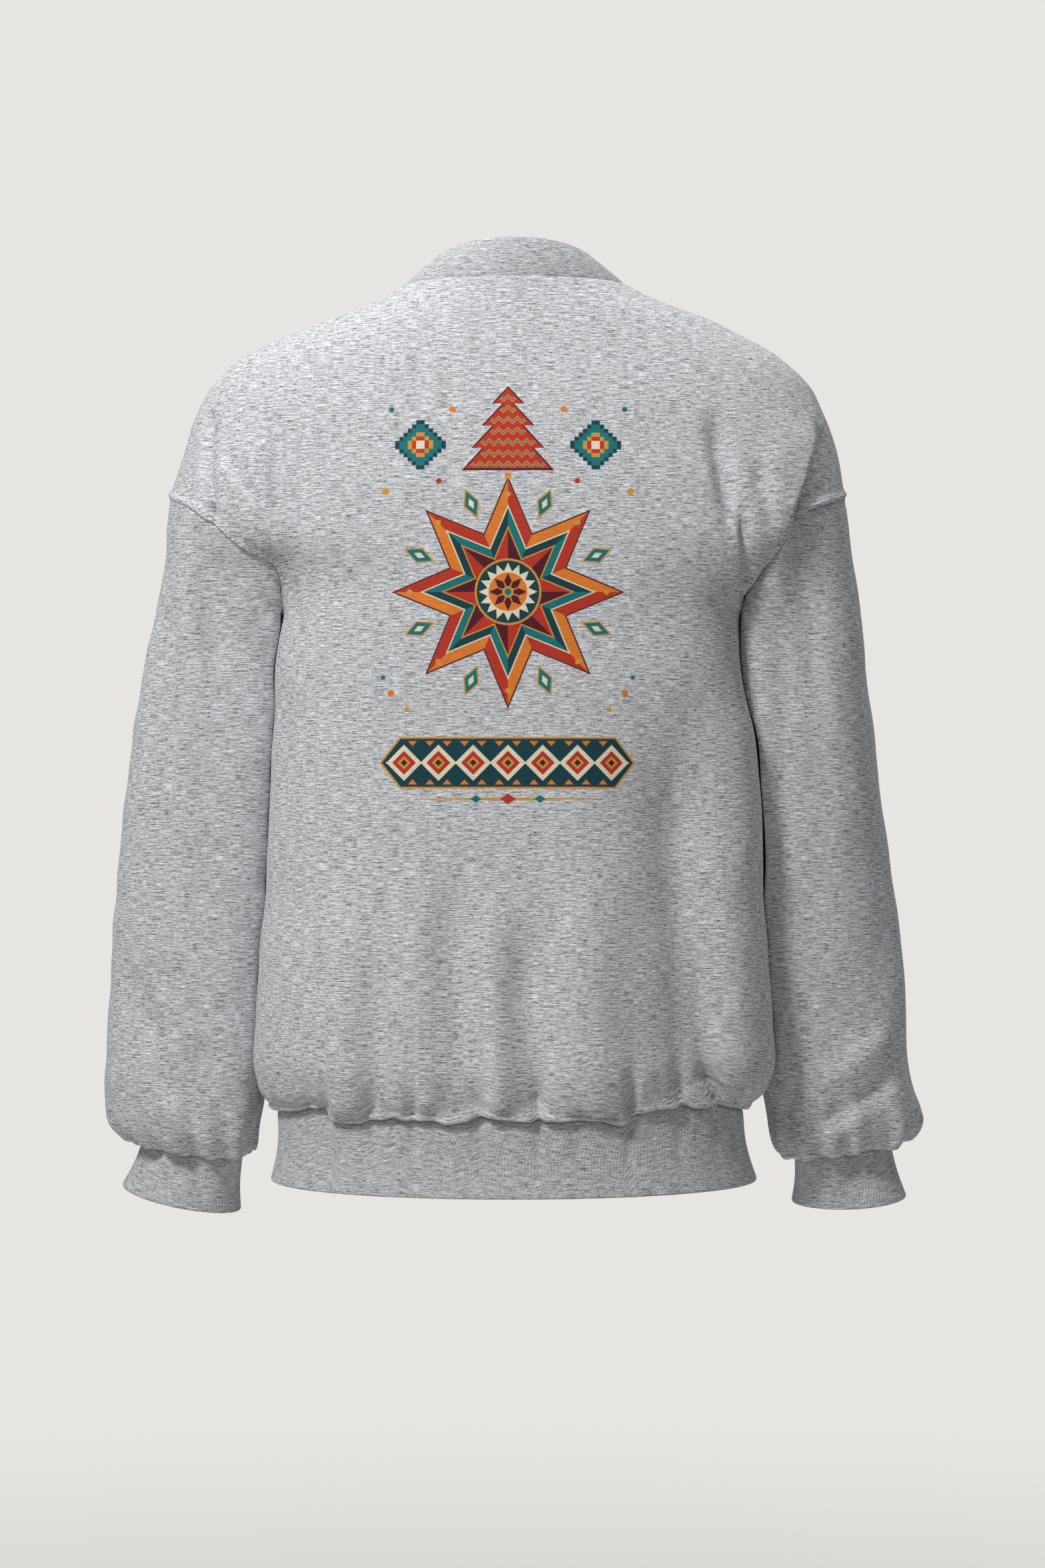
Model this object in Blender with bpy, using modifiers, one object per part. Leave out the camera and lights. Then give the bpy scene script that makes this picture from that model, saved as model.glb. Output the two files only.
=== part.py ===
"""Crewneck sweatshirt of fleece with ribbed neck, hem and cuffs, filled out as if worn.

The tables are in millimetres and the meshes in metres. +Z is up, the wearer would face -Y and
has the left hand at +X. The origin is level with the shoulder seams' high ends, midway between them.
Each panel is a grid of points: a row is part of a rounded section through the garment, and its
columns are spread evenly along the cloth. Folds are then raised or sunk along the cloth's normal.
"""

import math

import bpy
import numpy as np

MM = 0.001
FLEECE_WALL = 2.2
RIB_WALL = 3.0
SEAM_GAP = 0.3
ARMHOLE_GAP = 0.75
UNDERARM_GAP = 1.4
LIP = 2.0
SEAM_DEPTH = 0.6
SEAM_VALLEY = 0.3

BACK_COLUMNS = 40
FRONT_COLUMNS = 28
BODY_ROWS = 14
ARMHOLE_ROWS = 10
SHOULDER_ROWS = 8
SLEEVE_ROWS = 23
RIB_ROWS = 2
AT_ARMHOLE = slice(BODY_ROWS + 1, BODY_ROWS + ARMHOLE_ROWS + 2)

HEM_SEAM = -622.0
HEM_EDGE = -674.0
UNDERARM = -262.0
SHOULDER_TIP = -166.0
NECK_SIDE = -7.0
NECK_BACK = -9.0
NECK_FRONT = -88.0
SLEEVE_TOP = -214.0
SLEEVE_BLOUSE = 7.0
SLEEVE_CLEARANCE = 3.0
SLEEVE_SQUARE = 2.6
SLEEVE_TURN = math.radians(11)
EVEN_OVER = 14.0


def table(names, *rows):
    """A table's columns as arrays, by name."""
    return dict(zip(names.split(), np.array(rows, float).T))


# Half widths of the body below the armhole, at its widest.
SIDES = table(
    "height left right",
    (HEM_SEAM, 176, 173.5),
    (-612, 186, 187),
    (-597, 190.5, 194),
    (-554, 190, 194),
    (-500, 187, 190),
    (-440, 184, 185),
    (-351, 179.5, 178),
    (-302, 175.5, 169),
    (UNDERARM, 170, 164),
)

# Half widths along the shoulder seam, from its low end to the neck.
SHOULDERS = table(
    "height left right",
    (SHOULDER_TIP, 256, 249.5),
    (-132.5, 245.5, 244.5),
    (-102.5, 236, 233.5),
    (-82.5, 224.5, 224),
    (-62.5, 203.5, 202),
    (-47, 174, 177),
    (-32.5, 135, 148),
    (-20, 104.5, 113),
    (NECK_SIDE, 81, 86),
)

# How far the centre back and the centre front stand out.
BACK_PROFILE = table(
    "height depth",
    (HEM_SEAM, 119),
    (-612, 127),
    (-597, 131.5),
    (-560, 131),
    (-450, 126),
    (-350, 122),
    (UNDERARM, 119),
    (-200, 116),
    (-150, 110),
    (-100, 99),
    (-60, 86),
    (-30, 75),
    (NECK_BACK, 67),
)
FRONT_PROFILE = table(
    "height depth",
    (HEM_SEAM, 115),
    (-612, 122),
    (-597, 126),
    (-560, 126),
    (-450, 122),
    (-350, 123),
    (UNDERARM, 127),
    (-200, 126),
    (-150, 118),
    (-115, 106),
    (NECK_FRONT, 95),
)

# Where a section is widest, where its side seam runs, and how square it is.
SECTIONS = table(
    "height widest seam square",
    (HEM_SEAM, 6, 0, 2.2),
    (-597, 10, -2, 2.4),
    (-450, 22, -6, 2.5),
    (-350, 26, -8, 2.55),
    (UNDERARM, 28, -8, 2.55),
    (-236, 22, -8, 2.5),
    (-200, 4, -8, 2.5),
    (SHOULDER_TIP, -8, -8, 2.5),
    (-110, -8, -8, 2.4),
    (-60, -8, -8, 2.2),
    (NECK_SIDE, -6, -6, 2.05),
)

# The armhole from the underarm to the shoulder tip: share of the way up, how far the body's
# section reaches there between its widths at both ends, and depth behind and in front.
ARMHOLE = table(
    "up reach back_left back_right front",
    (0.00, 0.00, -8, -8, -8),
    (0.10, 0.00, 28, 28, -42),
    (0.27, 0.09, 55, 52, -64),
    (0.45, 0.36, 70, 66, -78),
    (0.61, 0.71, 73, 74, -85),
    (0.76, 0.93, 68, 73, -80),
    (0.91, 1.02, 47, 52, -54),
    (1.00, 1.00, -8, -8, -8),
)

# Sleeve sections: inner and outer edge of each side, depth, set forward, and tilts in degrees.
SLEEVES = table(
    "height left_in left_out right_in right_out deep forward lean pitch",
    (-663, 204, 282, 215, 289, 31, 42, 8, 6),
    (-661, 202.5, 284.5, 212.5, 291.5, 35, 42, 7, 6),
    (-652, 198.5, 293, 204, 303.5, 42, 41, 6, 6),
    (-641, 196, 303.5, 198.5, 310, 48, 40, 5, 6),
    (-630, 193, 307.5, 195, 309, 51, 39, 4, 6),
    (-615, 189, 310, 191.5, 305, 53, 38, 3, 5),
    (-590, 186, 308.5, 187, 301.5, 53, 35, 3, 5),
    (-550, 182.5, 305.6, 182, 299, 53, 32, 3, 4),
    (-500, 179, 303, 177, 296, 54, 28, 4, 4),
    (-450, 174.5, 298, 171, 289, 55, 24, 5, 4),
    (-400, 171.5, 292.8, 166.5, 282, 57, 20, 7, 3),
    (-350, 168, 285.5, 162, 276, 60, 17, 11, 3),
    (-300, 165.5, 276.5, 159, 268.5, 65, 13, 20, 2),
    (-265, 165, 268, 157.5, 261.5, 71, 10, 30, 1),
    (-235, 165, 260, 157, 254.5, 79, 6, 40, 0),
    (SLEEVE_TOP, 166, 256, 159, 249.5, 86, 4, 47, 0),
)

# Cuff edges: centre, half width and half depth of the opening, and tilts in degrees.
CUFF_EDGES = {
    "left": dict(out=252, height=-694, wide=46, deep=33, forward=44, lean=12, pitch=8),
    "right": dict(out=257, height=-695, wide=43.5, deep=33, forward=44, lean=3, pitch=8),
}
HEM_OPENING = dict(left=180, right=183, back=114, front=112, widest=4, square=2.1, waist=3)
NECK_OPENING = dict(side=61, back=61, front=80, level=7.5, back_rise=12, front_drop=70, middle=-2)

# Folds of the back and the front: a line from (x, z) to (x, z), bowed sideways, with its half
# width, and its height, which is negative for a trough.
FOLD_COLUMNS = "x_top z_top x_low z_low bow width height"
BACK_FOLDS = table(
    FOLD_COLUMNS,
    (-228, -100, -160, -290, 6, 14, -12),
    (-150, -100, -174, -275, 4, 14, -8),
    (-196, -100, -170, -250, 0, 14, 6),
    (218, -115, 170, -270, -10, 13, -10),
    (190, -115, 184, -225, 0, 14, 4),
    (154, -110, 164, -310, 0, 15, -6),
    (-165, -290, -178, -470, 0, 14, 4),
    (-140, -250, -150, -520, -6, 20, -5),
    (160, -280, 172, -520, 4, 18, -4),
    (75, -420, 71, -650, 0, 20, -7),
    (-4, -470, -12, -650, 0, 18, -7),
    (-78, -380, -94, -620, 0, 26, -12),
    (-146, -500, -152, -650, 0, 15, -7),
    (34, -440, 30, -650, 0, 22, 4),
    (-44, -430, -52, -650, 0, 22, 5),
    (118, -440, 124, -650, 0, 24, 4),
    (-122, -480, -124, -650, 0, 16, 4),
)
FRONT_FOLDS = table(
    FOLD_COLUMNS,
    (205, -110, 160, -285, 8, 14, -9),
    (-203, -110, -156, -285, -8, 14, -9),
    (160, -110, 135, -300, 0, 16, -5),
    (-155, -115, -130, -290, 0, 16, -5),
    (62, -400, 70, -640, 0, 22, -6),
    (-20, -380, -14, -640, 0, 24, -5),
    (-92, -420, -100, -640, 0, 22, -6),
    (130, -430, 134, -640, 0, 18, -5),
    (22, -420, 26, -640, 0, 24, 4),
    (-58, -420, -60, -640, 0, 22, 4),
    (100, -430, 104, -640, 0, 20, 4),
)

# Gathers over the hem: place along x, half width, depth, and how far the seam is drawn up.
GATHER_COLUMNS = "x width depth lift"
BACK_GATHERS = table(
    GATHER_COLUMNS,
    (150, 10, 4, 1.5),
    (104, 9, 5, -1.5),
    (72, 8, 5, 1.5),
    (26, 9, 5, -1.0),
    (-20, 9, 5, 1.0),
    (-86, 10, 6, -1.5),
    (-124, 8, 5, 2.5),
    (-155, 8, 5, 1.0),
)
FRONT_GATHERS = table(
    GATHER_COLUMNS,
    (138, 10, 5, 1.0),
    (92, 9, 5, -1.0),
    (40, 10, 5, 1.5),
    (-12, 9, 5, 0.5),
    (-66, 10, 5, -1.0),
    (-116, 9, 5, 1.5),
    (-150, 9, 4, 0.5),
)
GATHER_PEAK = 16.0

# Folds of the sleeves, as a share of the width out from the middle, and the height above the cuff.
SLEEVE_COLUMNS = "out_top z_top out_low z_low bow width height"
SLEEVE_BACKS = {
    "left": table(
        SLEEVE_COLUMNS,
        (0.30, -215, 0.34, -540, 0, 0.22, -5),
        (-0.45, -240, -0.35, -360, 0, 0.18, -4),
        (-0.1, -250, 0.05, -520, 0, 0.3, 4),
        (0.95, -520, -0.55, -648, 0.1, 0.2, -6),
        (0.35, -590, -0.8, -655, 0.1, 0.2, -5),
        (0.75, -585, -0.75, -640, 0, 0.2, 5),
    ),
    "right": table(
        SLEEVE_COLUMNS,
        (0.35, -220, 0.45, -560, 0, 0.2, -5),
        (-0.1, -230, -0.1, -560, 0, 0.3, 5),
        (-0.7, -240, -0.6, -500, 0, 0.2, -4),
        (0.9, -600, -0.6, -640, 0.1, 0.2, -5),
        (0.9, -560, -0.3, -620, 0, 0.2, 4),
    ),
}
SLEEVE_FRONTS = table(
    SLEEVE_COLUMNS,
    (0.6, -320, -0.8, -410, 0.1, 0.22, -7),
    (0.7, -385, -0.8, -465, 0.1, 0.22, -7),
    (0.7, -352, -0.7, -437, 0.1, 0.22, 5),
    (-0.2, -230, 0.1, -360, 0, 0.24, -4),
    (0.9, -560, -0.6, -640, 0.1, 0.2, -5),
)
CUFF_GATHERS = 9
CUFF_GATHER_DEPTH = 3.5

FLEECE = ("fleece", (0.47, 0.48, 0.50), 0.95)
RIB = ("rib", (0.45, 0.46, 0.48), 0.95)


def smooth(at, knots, values):
    """A smooth curve through a table's points: cubics with their neighbours' mean slopes."""
    at = np.asarray(at, float)
    slope = np.gradient(values, knots)
    i = np.clip(np.searchsorted(knots, at) - 1, 0, len(knots) - 2)
    step = knots[i + 1] - knots[i]
    t = np.clip((at - knots[i]) / step, 0, 1)
    start = values[i] * (1 + 2 * t) * (1 - t) ** 2 + slope[i] * step * t * (1 - t) ** 2
    return start + values[i + 1] * t * t * (3 - 2 * t) + slope[i + 1] * step * t * t * (t - 1)


def read(columns, name, height):
    """A column of a table at any height."""
    return smooth(height, columns["height"], columns[name])


def ease(low, high, value):
    """0 below low, 1 above high, and smooth between."""
    t = np.clip((value - low) / (high - low), 0, 1)
    return t * t * (3 - 2 * t)


def spread(points, shares):
    """Points at shares of the length of a line of points."""
    steps = np.linalg.norm(np.diff(points, axis=0), axis=1)
    along = np.concatenate([[0], np.cumsum(steps)])
    return np.stack([np.interp(shares * along[-1], along, line) for line in points.T], axis=1)


def body_width(side, height):
    """The body's half width below the armhole."""
    return read(SIDES, side, height)


def section(height):
    """Widest place, square, and the depths from it to the back and to the front."""
    widest = read(SECTIONS, "widest", height)
    square = read(SECTIONS, "square", height)
    back = read(BACK_PROFILE, "depth", np.minimum(height, NECK_BACK)) - widest
    front = read(FRONT_PROFILE, "depth", np.minimum(height, NECK_FRONT)) + widest
    return widest, square, back, front


def section_share(y, height):
    """How wide a section is at a depth y, as a share of its widest."""
    widest, square, back, front = section(height)
    share = np.abs(y - widest) / np.where(y > widest, back, front)
    return np.maximum(1 - share**square, 0) ** (1 / square)


def body_edge(side, y, height):
    """Half width of the body's section at a depth y, below the armhole."""
    return body_width(side, height) * section_share(y, height)


def armhole(side):
    """The armhole's two halves from the underarm to the shoulder tip, back and front."""
    dense = 24
    low, high = body_width(side, UNDERARM), read(SHOULDERS, side, SHOULDER_TIP)
    halves = []
    faces = (f"back_{side}", "front")
    for face, other in (faces, faces[::-1]):
        knots = np.arange(-1, len(ARMHOLE["up"]) + 1)
        at = np.linspace(0, len(ARMHOLE["up"]) - 1, dense * (len(ARMHOLE["up"]) - 1) + 1)
        wrapped = {
            name: np.concatenate([[ARMHOLE[beyond][1]], ARMHOLE[name], [ARMHOLE[beyond][-2]]])
            for name, beyond in (("up", "up"), ("reach", "reach"), (face, other))
        }
        up, reach, y = (smooth(at, knots, wrapped[name]) for name in ("up", "reach", face))
        z = UNDERARM + (SHOULDER_TIP - UNDERARM) * up
        x = (low + (high - low) * reach) * section_share(y, z)
        line = np.stack([x, y, z], axis=1)
        halves.append(spread(line, np.linspace(0, 1, ARMHOLE_ROWS + 1)))
    return halves


def row_shares(rows, lips):
    """Even steps from 0 to 1 with one more just inside the start, the end or both."""
    shares = np.linspace(0, 1, rows + 1)
    low = [lips[0]] if lips[0] else []
    high = [1 - lips[1]] if lips[1] else []
    return np.unique(np.concatenate([shares, low, high]))


def side_edges(side):
    """Where each row of the back and of the front ends: side seam, armhole, shoulder seam."""
    body = row_shares(BODY_ROWS, (0, 0))[:-1] ** 1.35
    height = np.insert(HEM_SEAM + (UNDERARM - HEM_SEAM) * body, 1, HEM_SEAM + LIP)
    seam = read(SECTIONS, "seam", height)
    below = np.stack([body_edge(side, seam, height), seam, height], axis=1)
    tip_to_neck = np.linspace(SHOULDER_TIP, NECK_SIDE, 200)
    ridge = np.stack(
        [
            read(SHOULDERS, side, tip_to_neck),
            read(SECTIONS, "seam", tip_to_neck),
            tip_to_neck,
        ],
        axis=1,
    )
    above = spread(ridge, row_shares(SHOULDER_ROWS, (0, LIP / 250)))[1:]
    back, front = armhole(side)
    return np.concatenate([below, back, above]), np.concatenate([below, front, above])


def half_row(ends, middle_height, face, shares):
    """Half of each row of a panel, from the centre line to its end.

    A row is part of a superellipse through its end point: x = reach * sin^(2/n) and
    y = widest + depth * cos^(2/n), spread evenly along the cloth.
    """
    level = np.minimum(middle_height, ends[:, 2])
    widest, square, back, front = section(np.clip(level, HEM_SEAM, NECK_SIDE))
    widest = read(SECTIONS, "widest", ends[:, 2])
    back = read(BACK_PROFILE, "depth", middle_height) - widest if face > 0 else back
    front = read(FRONT_PROFILE, "depth", middle_height) + widest if face < 0 else front
    near, far = (back, front) if face > 0 else (front, back)
    offset = (ends[:, 1] - widest) * face
    share = offset / np.where(offset > 0, near, far)
    stop = np.arccos(np.sign(share) * np.abs(share) ** (square / 2))
    reach = ends[:, 0] / (1 - np.abs(share) ** square) ** (1 / square)
    part = np.linspace(0, 1, 161)
    turn = stop[:, None] * part
    power = (2 / square)[:, None]
    across = reach[:, None] * np.abs(np.sin(turn)) ** power
    cosine = np.cos(turn)
    depth = np.where(cosine > 0, near[:, None], far[:, None])
    y = widest[:, None] + face * depth * np.sign(cosine) * np.abs(cosine) ** power
    drop = np.cos(part * math.pi / 2) ** 1.4
    z = ends[:, 2:] + (middle_height - ends[:, 2])[:, None] * drop
    lines = np.stack([across, y, z], axis=2)
    return np.stack([spread(line, shares) for line in lines])


def normals(grid, closed=False):
    """Unit normals of a grid of points, pointing out where its columns run to the right."""
    if closed:
        wrapped = np.concatenate([grid[:, -1:], grid, grid[:, :1]], axis=1)
        along = np.gradient(wrapped, axis=1)[:, 1:-1]
    else:
        along = np.gradient(grid, axis=1)
    normal = np.cross(along, np.gradient(grid, axis=0))
    return normal / np.linalg.norm(normal, axis=2, keepdims=True)


def fold_heights(folds, x, z):
    """The sum of a table's folds at points (x, z)."""
    total = np.zeros_like(x)
    for x1, z1, x2, z2, bow, width, height in zip(*(folds[k] for k in folds)):
        length = math.hypot(x2 - x1, z2 - z1)
        along = ((x - x1) * (x2 - x1) + (z - z1) * (z2 - z1)) / length**2
        aside = ((x - x1) * (z1 - z2) + (z - z1) * (x2 - x1)) / length
        run = np.clip(along, 0, 1)
        aside = aside - bow * 4 * run * (1 - run)
        fade = ease(0, 0.3, along) * ease(0, 0.3, 1 - along)
        total += height * fade * np.exp(-((aside / width) ** 2))
    return total


def gather_heights(gathers, x, rise):
    """Troughs over the hem, deepest at GATHER_PEAK above it."""
    swell = rise / GATHER_PEAK
    swell = swell * np.exp(1 - swell)
    return -sum(
        depth * np.exp(-(((x - place) / width) ** 2)) * swell
        for place, width, depth in zip(gathers["x"], gathers["width"], gathers["depth"])
    )


def evened(grid, edge):
    """The grid with its columns evened out over EVEN_OVER, between the shoulders and the chest."""
    steps = np.linalg.norm(np.diff(grid, axis=0), axis=2)
    along = np.concatenate([np.zeros((1, grid.shape[1])), np.cumsum(steps, axis=0)])
    apart = along[:, None] - along[None]
    weight = np.exp(-((apart / EVEN_OVER) ** 2) / 2) * np.gradient(along, axis=0)[None]
    mean = np.einsum("ijc,jcd->icd", weight, grid) / weight.sum(axis=1)[..., None]
    z = grid[..., 2]
    share = ease(0, 30, edge) * ease(-340, -290, z) * ease(70, 110, -z)
    return grid + (mean - grid) * share[..., None]


def seam_lift(gathers, x):
    """How far the gathers draw the hem seam up."""
    return sum(
        lift * np.exp(-(((x - place) / (1.6 * width)) ** 2))
        for place, width, lift in zip(gathers["x"], gathers["width"], gathers["lift"])
    )


def panel(face, columns, folds, gathers):
    """The back (face 1) or front (face -1) as a grid: rows from hem to neck, columns in +X order."""
    shares = row_shares(columns // 2, (0, LIP / 280))
    halves = []
    for side, sign in (("right", -1), ("left", 1)):
        ends = side_edges(side)[0 if face > 0 else 1]
        high = NECK_BACK if face > 0 else NECK_FRONT
        above = (ends[:, 2] - SHOULDER_TIP) / (NECK_SIDE - SHOULDER_TIP)
        lifted = SHOULDER_TIP + (high - SHOULDER_TIP) * above
        middle = np.where(above > 0, lifted, ends[:, 2])
        middle[AT_ARMHOLE] = np.linspace(UNDERARM, SHOULDER_TIP, ARMHOLE_ROWS + 1)
        half = half_row(ends, middle, face, shares) * np.array([sign, 1, 1])
        halves.append(half)
    grid = np.concatenate([halves[0][:, ::-1], halves[1][:, 1:]], axis=1)
    steps = np.linalg.norm(np.diff(grid, axis=1), axis=2)
    along = np.concatenate([np.zeros((len(grid), 1)), np.cumsum(steps, axis=1)], axis=1)
    edge = np.minimum(along, along[:, -1:] - along)
    grid = evened(grid, edge)
    x, z = grid[..., 0], grid[..., 2]
    rise = z - HEM_SEAM
    at_armhole = ease(UNDERARM, UNDERARM + 20, z) * ease(-SHOULDER_TIP, -SHOULDER_TIP + 20, -z)
    free = np.maximum(ease(0, 25, edge), at_armhole)
    free = free * ease(0, 12, rise) * ease(0, 30, NECK_SIDE - z + 0 * x)
    height = fold_heights(folds, x, z) * free
    height += gather_heights(gathers, x, rise) * ease(0, 25, edge)
    height[0], height[-1] = -SEAM_DEPTH, -SEAM_DEPTH
    height[:, 0], height[:, -1] = -SEAM_DEPTH, -SEAM_DEPTH
    grid = grid - normals(grid) * face * height[..., None]
    lift = seam_lift(gathers, x) * np.exp(-rise / 25) * ease(0, 25, edge)
    grid[..., 2] += lift
    return grid


def squared(wave, square):
    """A sine or cosine that draws a superellipse in place of a circle."""
    return np.sign(wave) * np.abs(wave) ** (2 / square)


def sleeve_rows():
    """Heights of the sleeve's sections from the armhole down, closer together at the cuff."""
    low = SLEEVES["height"][0]
    share = row_shares(SLEEVE_ROWS, (LIP / 450, LIP / 450))
    return SLEEVE_TOP + (low - SLEEVE_TOP) * (1 - (1 - share) ** 1.25)


def sleeve(side, ring, beside):
    """A sleeve as a closed grid, from the armhole's points to the cuff seam.

    A section is a superellipse between its inner and outer edge, leaning out at the top and
    turned a little forward. The first rows ease from the armhole's own shape into the
    sections, and the inner face stays clear of the body.
    """
    sign = 1 if side == "left" else -1
    height = sleeve_rows()
    inner, outer = read(SLEEVES, f"{side}_in", height), read(SLEEVES, f"{side}_out", height)
    lean, pitch = (np.radians(read(SLEEVES, name, height)) for name in ("lean", "pitch"))
    deep, forward = read(SLEEVES, "deep", height), read(SLEEVES, "forward", height)
    half = (outer - inner) / 2 / np.cos(lean)
    count = len(ring)
    angle = math.pi - 2 * math.pi * np.arange(count) / count
    cosine, sine = (squared(part(angle), SLEEVE_SQUARE) for part in (np.cos, np.sin))
    x = ((inner + outer) / 2)[:, None] + (half * np.cos(lean))[:, None] * cosine
    y = -forward[:, None] + (deep * np.cos(pitch))[:, None] * sine
    y = y - (half * math.sin(SLEEVE_TURN))[:, None] * cosine
    z = height[:, None] + (half * np.sin(lean))[:, None] * cosine
    z = z - (deep * np.sin(pitch))[:, None] * sine
    grid = np.stack([x, y, z], axis=2)
    start = ring * np.array([sign, 1, 1])
    way = (SLEEVE_TOP - height) / (SLEEVE_TOP - height[-1])
    grid = grid + (start - grid[0]) * (1 - ease(0, 0.33, way))[:, None, None]
    grid = clear_of_body(grid, side, way)
    grid = grid + sleeve_folds(grid, side, height, cosine, sine, sign)
    end = ease(0.975, 1.0, way)[:, None] * SLEEVE_BLOUSE
    grid[..., 2] += end
    return valley_at_seam(grid * np.array([sign, 1, 1]), beside)


def clear_of_body(grid, side, way):
    """The sleeve's points, moved out to SLEEVE_CLEARANCE from the body where they are nearer."""
    level = np.clip(grid[..., 2], HEM_SEAM, UNDERARM)
    limit = body_edge(side, grid[..., 1], level) + SLEEVE_CLEARANCE * ease(-0.01, 0.03, way)[:, None]
    soft = 2.5
    over = (grid[..., 0] - limit) / soft
    moved = limit + soft * np.logaddexp(0, over)
    below = ease(-UNDERARM - 16, -UNDERARM - 6, -grid[..., 2])
    grid = grid.copy()
    grid[..., 0] += (moved - grid[..., 0]) * below * (way > 0)[:, None]
    return grid


def valley_at_seam(grid, beside):
    """The row next to a seam, raised where the seam would be a ridge against the piece beside it."""
    along = np.roll(grid[0], -1, axis=0) - np.roll(grid[0], 1, axis=0)
    normal = np.cross(along, grid[1] - grid[0])
    normal = normal / np.linalg.norm(normal, axis=1, keepdims=True)
    normal = normal * np.sign(np.sum(normal * (grid[0] - grid[0].mean(axis=0)), axis=1))[:, None]
    away = beside - grid[0]
    away = away / np.linalg.norm(away, axis=1, keepdims=True)
    ridge = SEAM_VALLEY - np.sum(away * normal, axis=1)
    facing = ease(-0.7, 0.0, np.sum(normal * (grid[0] - grid[0].mean(axis=0)), axis=1) / 60)
    grid = grid.copy()
    grid[1] += normal * (LIP * np.clip(ridge, 0, 1) * facing)[:, None]
    return grid


def sleeve_folds(grid, side, height, cosine, sine, sign):
    """Moves along the normal for the sleeve's folds and for the gathers above the cuff."""
    out = np.broadcast_to(cosine, grid.shape[:2])
    level = np.broadcast_to(height[:, None], grid.shape[:2])
    scale = 60.0
    back = fold_heights(scaled(SLEEVE_BACKS[side], scale), out * scale, level)
    front = fold_heights(scaled(SLEEVE_FRONTS, scale), out * scale, level)
    to_back = ease(-0.15, 0.15, sine)
    move = back * to_back + front * (1 - to_back)
    low = height[-1]
    rise = (level - low) / GATHER_PEAK
    angle = np.arctan2(sine, cosine)
    wave = np.cos(CUFF_GATHERS * angle + 0.9 * np.sin(2 * angle) + (0.6 if side == "left" else 2.0))
    move = move + CUFF_GATHER_DEPTH * wave * rise * np.exp(1 - rise)
    move = move * ease(0, 25, height[0] - level)
    move[1:-1] += SEAM_DEPTH * ease(-0.9, 0.3, cosine)
    normal = normals(grid, closed=True)
    facing = np.sign(np.sum(normal[..., 0] * cosine))
    return normal * (move * facing)[..., None]


def scaled(folds, scale):
    """A sleeve's folds with their shares of the width made lengths."""
    across = ("out_top", "out_low", "bow", "width")
    return {name: folds[name] * (scale if name in across else 1) for name in folds}


def joined(behind, before):
    """The closed line round the body from one edge of the back and of the front."""
    behind, before = (np.delete(line, (1, -2), axis=0) for line in (behind, before))
    return np.concatenate([behind, before[-2:0:-1]])


def tube(top, bottom, rows, swell):
    """A band from one closed line to another, drawn in or let out by swell between them."""
    share = row_shares(rows, (LIP / 55, 0))[:, None, None]
    grid = top * (1 - share) + bottom * share
    middle = grid.mean(axis=1, keepdims=True)
    away = grid - middle
    away[..., 2] = 0
    away = away / np.linalg.norm(away, axis=2, keepdims=True)
    return grid + away * (swell * np.sin(math.pi * share) + SEAM_DEPTH * (share > 0))


def hem_opening(shares_back, shares_front):
    """The hem's lower edge: a superellipse spread evenly from side seam to side seam."""
    turn = np.linspace(-math.pi / 2, math.pi / 2, 241)
    power = 2 / HEM_OPENING["square"]
    sine, cosine = np.sin(turn), np.cos(turn)
    reach = np.where(sine > 0, HEM_OPENING["left"], HEM_OPENING["right"])
    x = reach * np.sign(sine) * np.abs(sine) ** power
    lines = []
    for face, depth, shares in ((1, "back", shares_back), (-1, "front", shares_front)):
        y = HEM_OPENING["widest"] + face * HEM_OPENING[depth] * np.abs(cosine) ** power
        z = np.full_like(x, HEM_EDGE) - 2 * np.abs(cosine)
        lines.append(spread(np.stack([x, y, z], axis=1), shares))
    return np.concatenate([lines[0], lines[1][-2:0:-1]])


def neck_opening(shares_back, shares_front):
    """The neck band's upper edge: half an ellipse behind, and a deeper, lower one in front."""
    turn = np.linspace(-math.pi / 2, math.pi / 2, 241)
    cosine = np.abs(np.cos(turn))
    x = NECK_OPENING["middle"] + NECK_OPENING["side"] * np.sin(turn)
    lines = []
    for face, depth, rise, shares in (
        (1, "back", NECK_OPENING["back_rise"] * cosine, shares_back),
        (-1, "front", -NECK_OPENING["front_drop"] * cosine**1.4, shares_front),
    ):
        y = face * NECK_OPENING[depth] * cosine
        z = NECK_OPENING["level"] + rise
        lines.append(spread(np.stack([x, y, z], axis=1), shares))
    return np.concatenate([lines[0], lines[1][-2:0:-1]])


def cuff_opening(side, count):
    """The cuff's lower edge: a tilted ellipse."""
    edge = CUFF_EDGES[side]
    lean, pitch = math.radians(edge["lean"]), math.radians(edge["pitch"])
    angle = math.pi - 2 * math.pi * np.arange(count) / count
    x = edge["out"] + edge["wide"] * math.cos(lean) * np.cos(angle)
    y = -edge["forward"] + edge["deep"] * math.cos(pitch) * np.sin(angle)
    z = edge["height"] + edge["wide"] * math.sin(lean) * np.cos(angle)
    z = z - edge["deep"] * math.sin(pitch) * np.sin(angle)
    sign = 1 if side == "left" else -1
    return np.stack([x * sign, y, z], axis=1)


def trimmed(grid, edges, back=SEAM_GAP / 2):
    """A grid with the named edges drawn back, by half the gap at a seam unless told."""
    grid = grid.copy()
    pairs = {
        "first row": (np.s_[0], np.s_[1]),
        "last row": (np.s_[-1], np.s_[-2]),
        "first column": (np.s_[:, 0], np.s_[:, 1]),
        "last column": (np.s_[:, -1], np.s_[:, -2]),
    }
    for edge in edges:
        at, beside = pairs[edge]
        step = grid[beside] - grid[at]
        grid[at] += step / np.linalg.norm(step, axis=-1, keepdims=True) * back
    return grid


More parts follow.
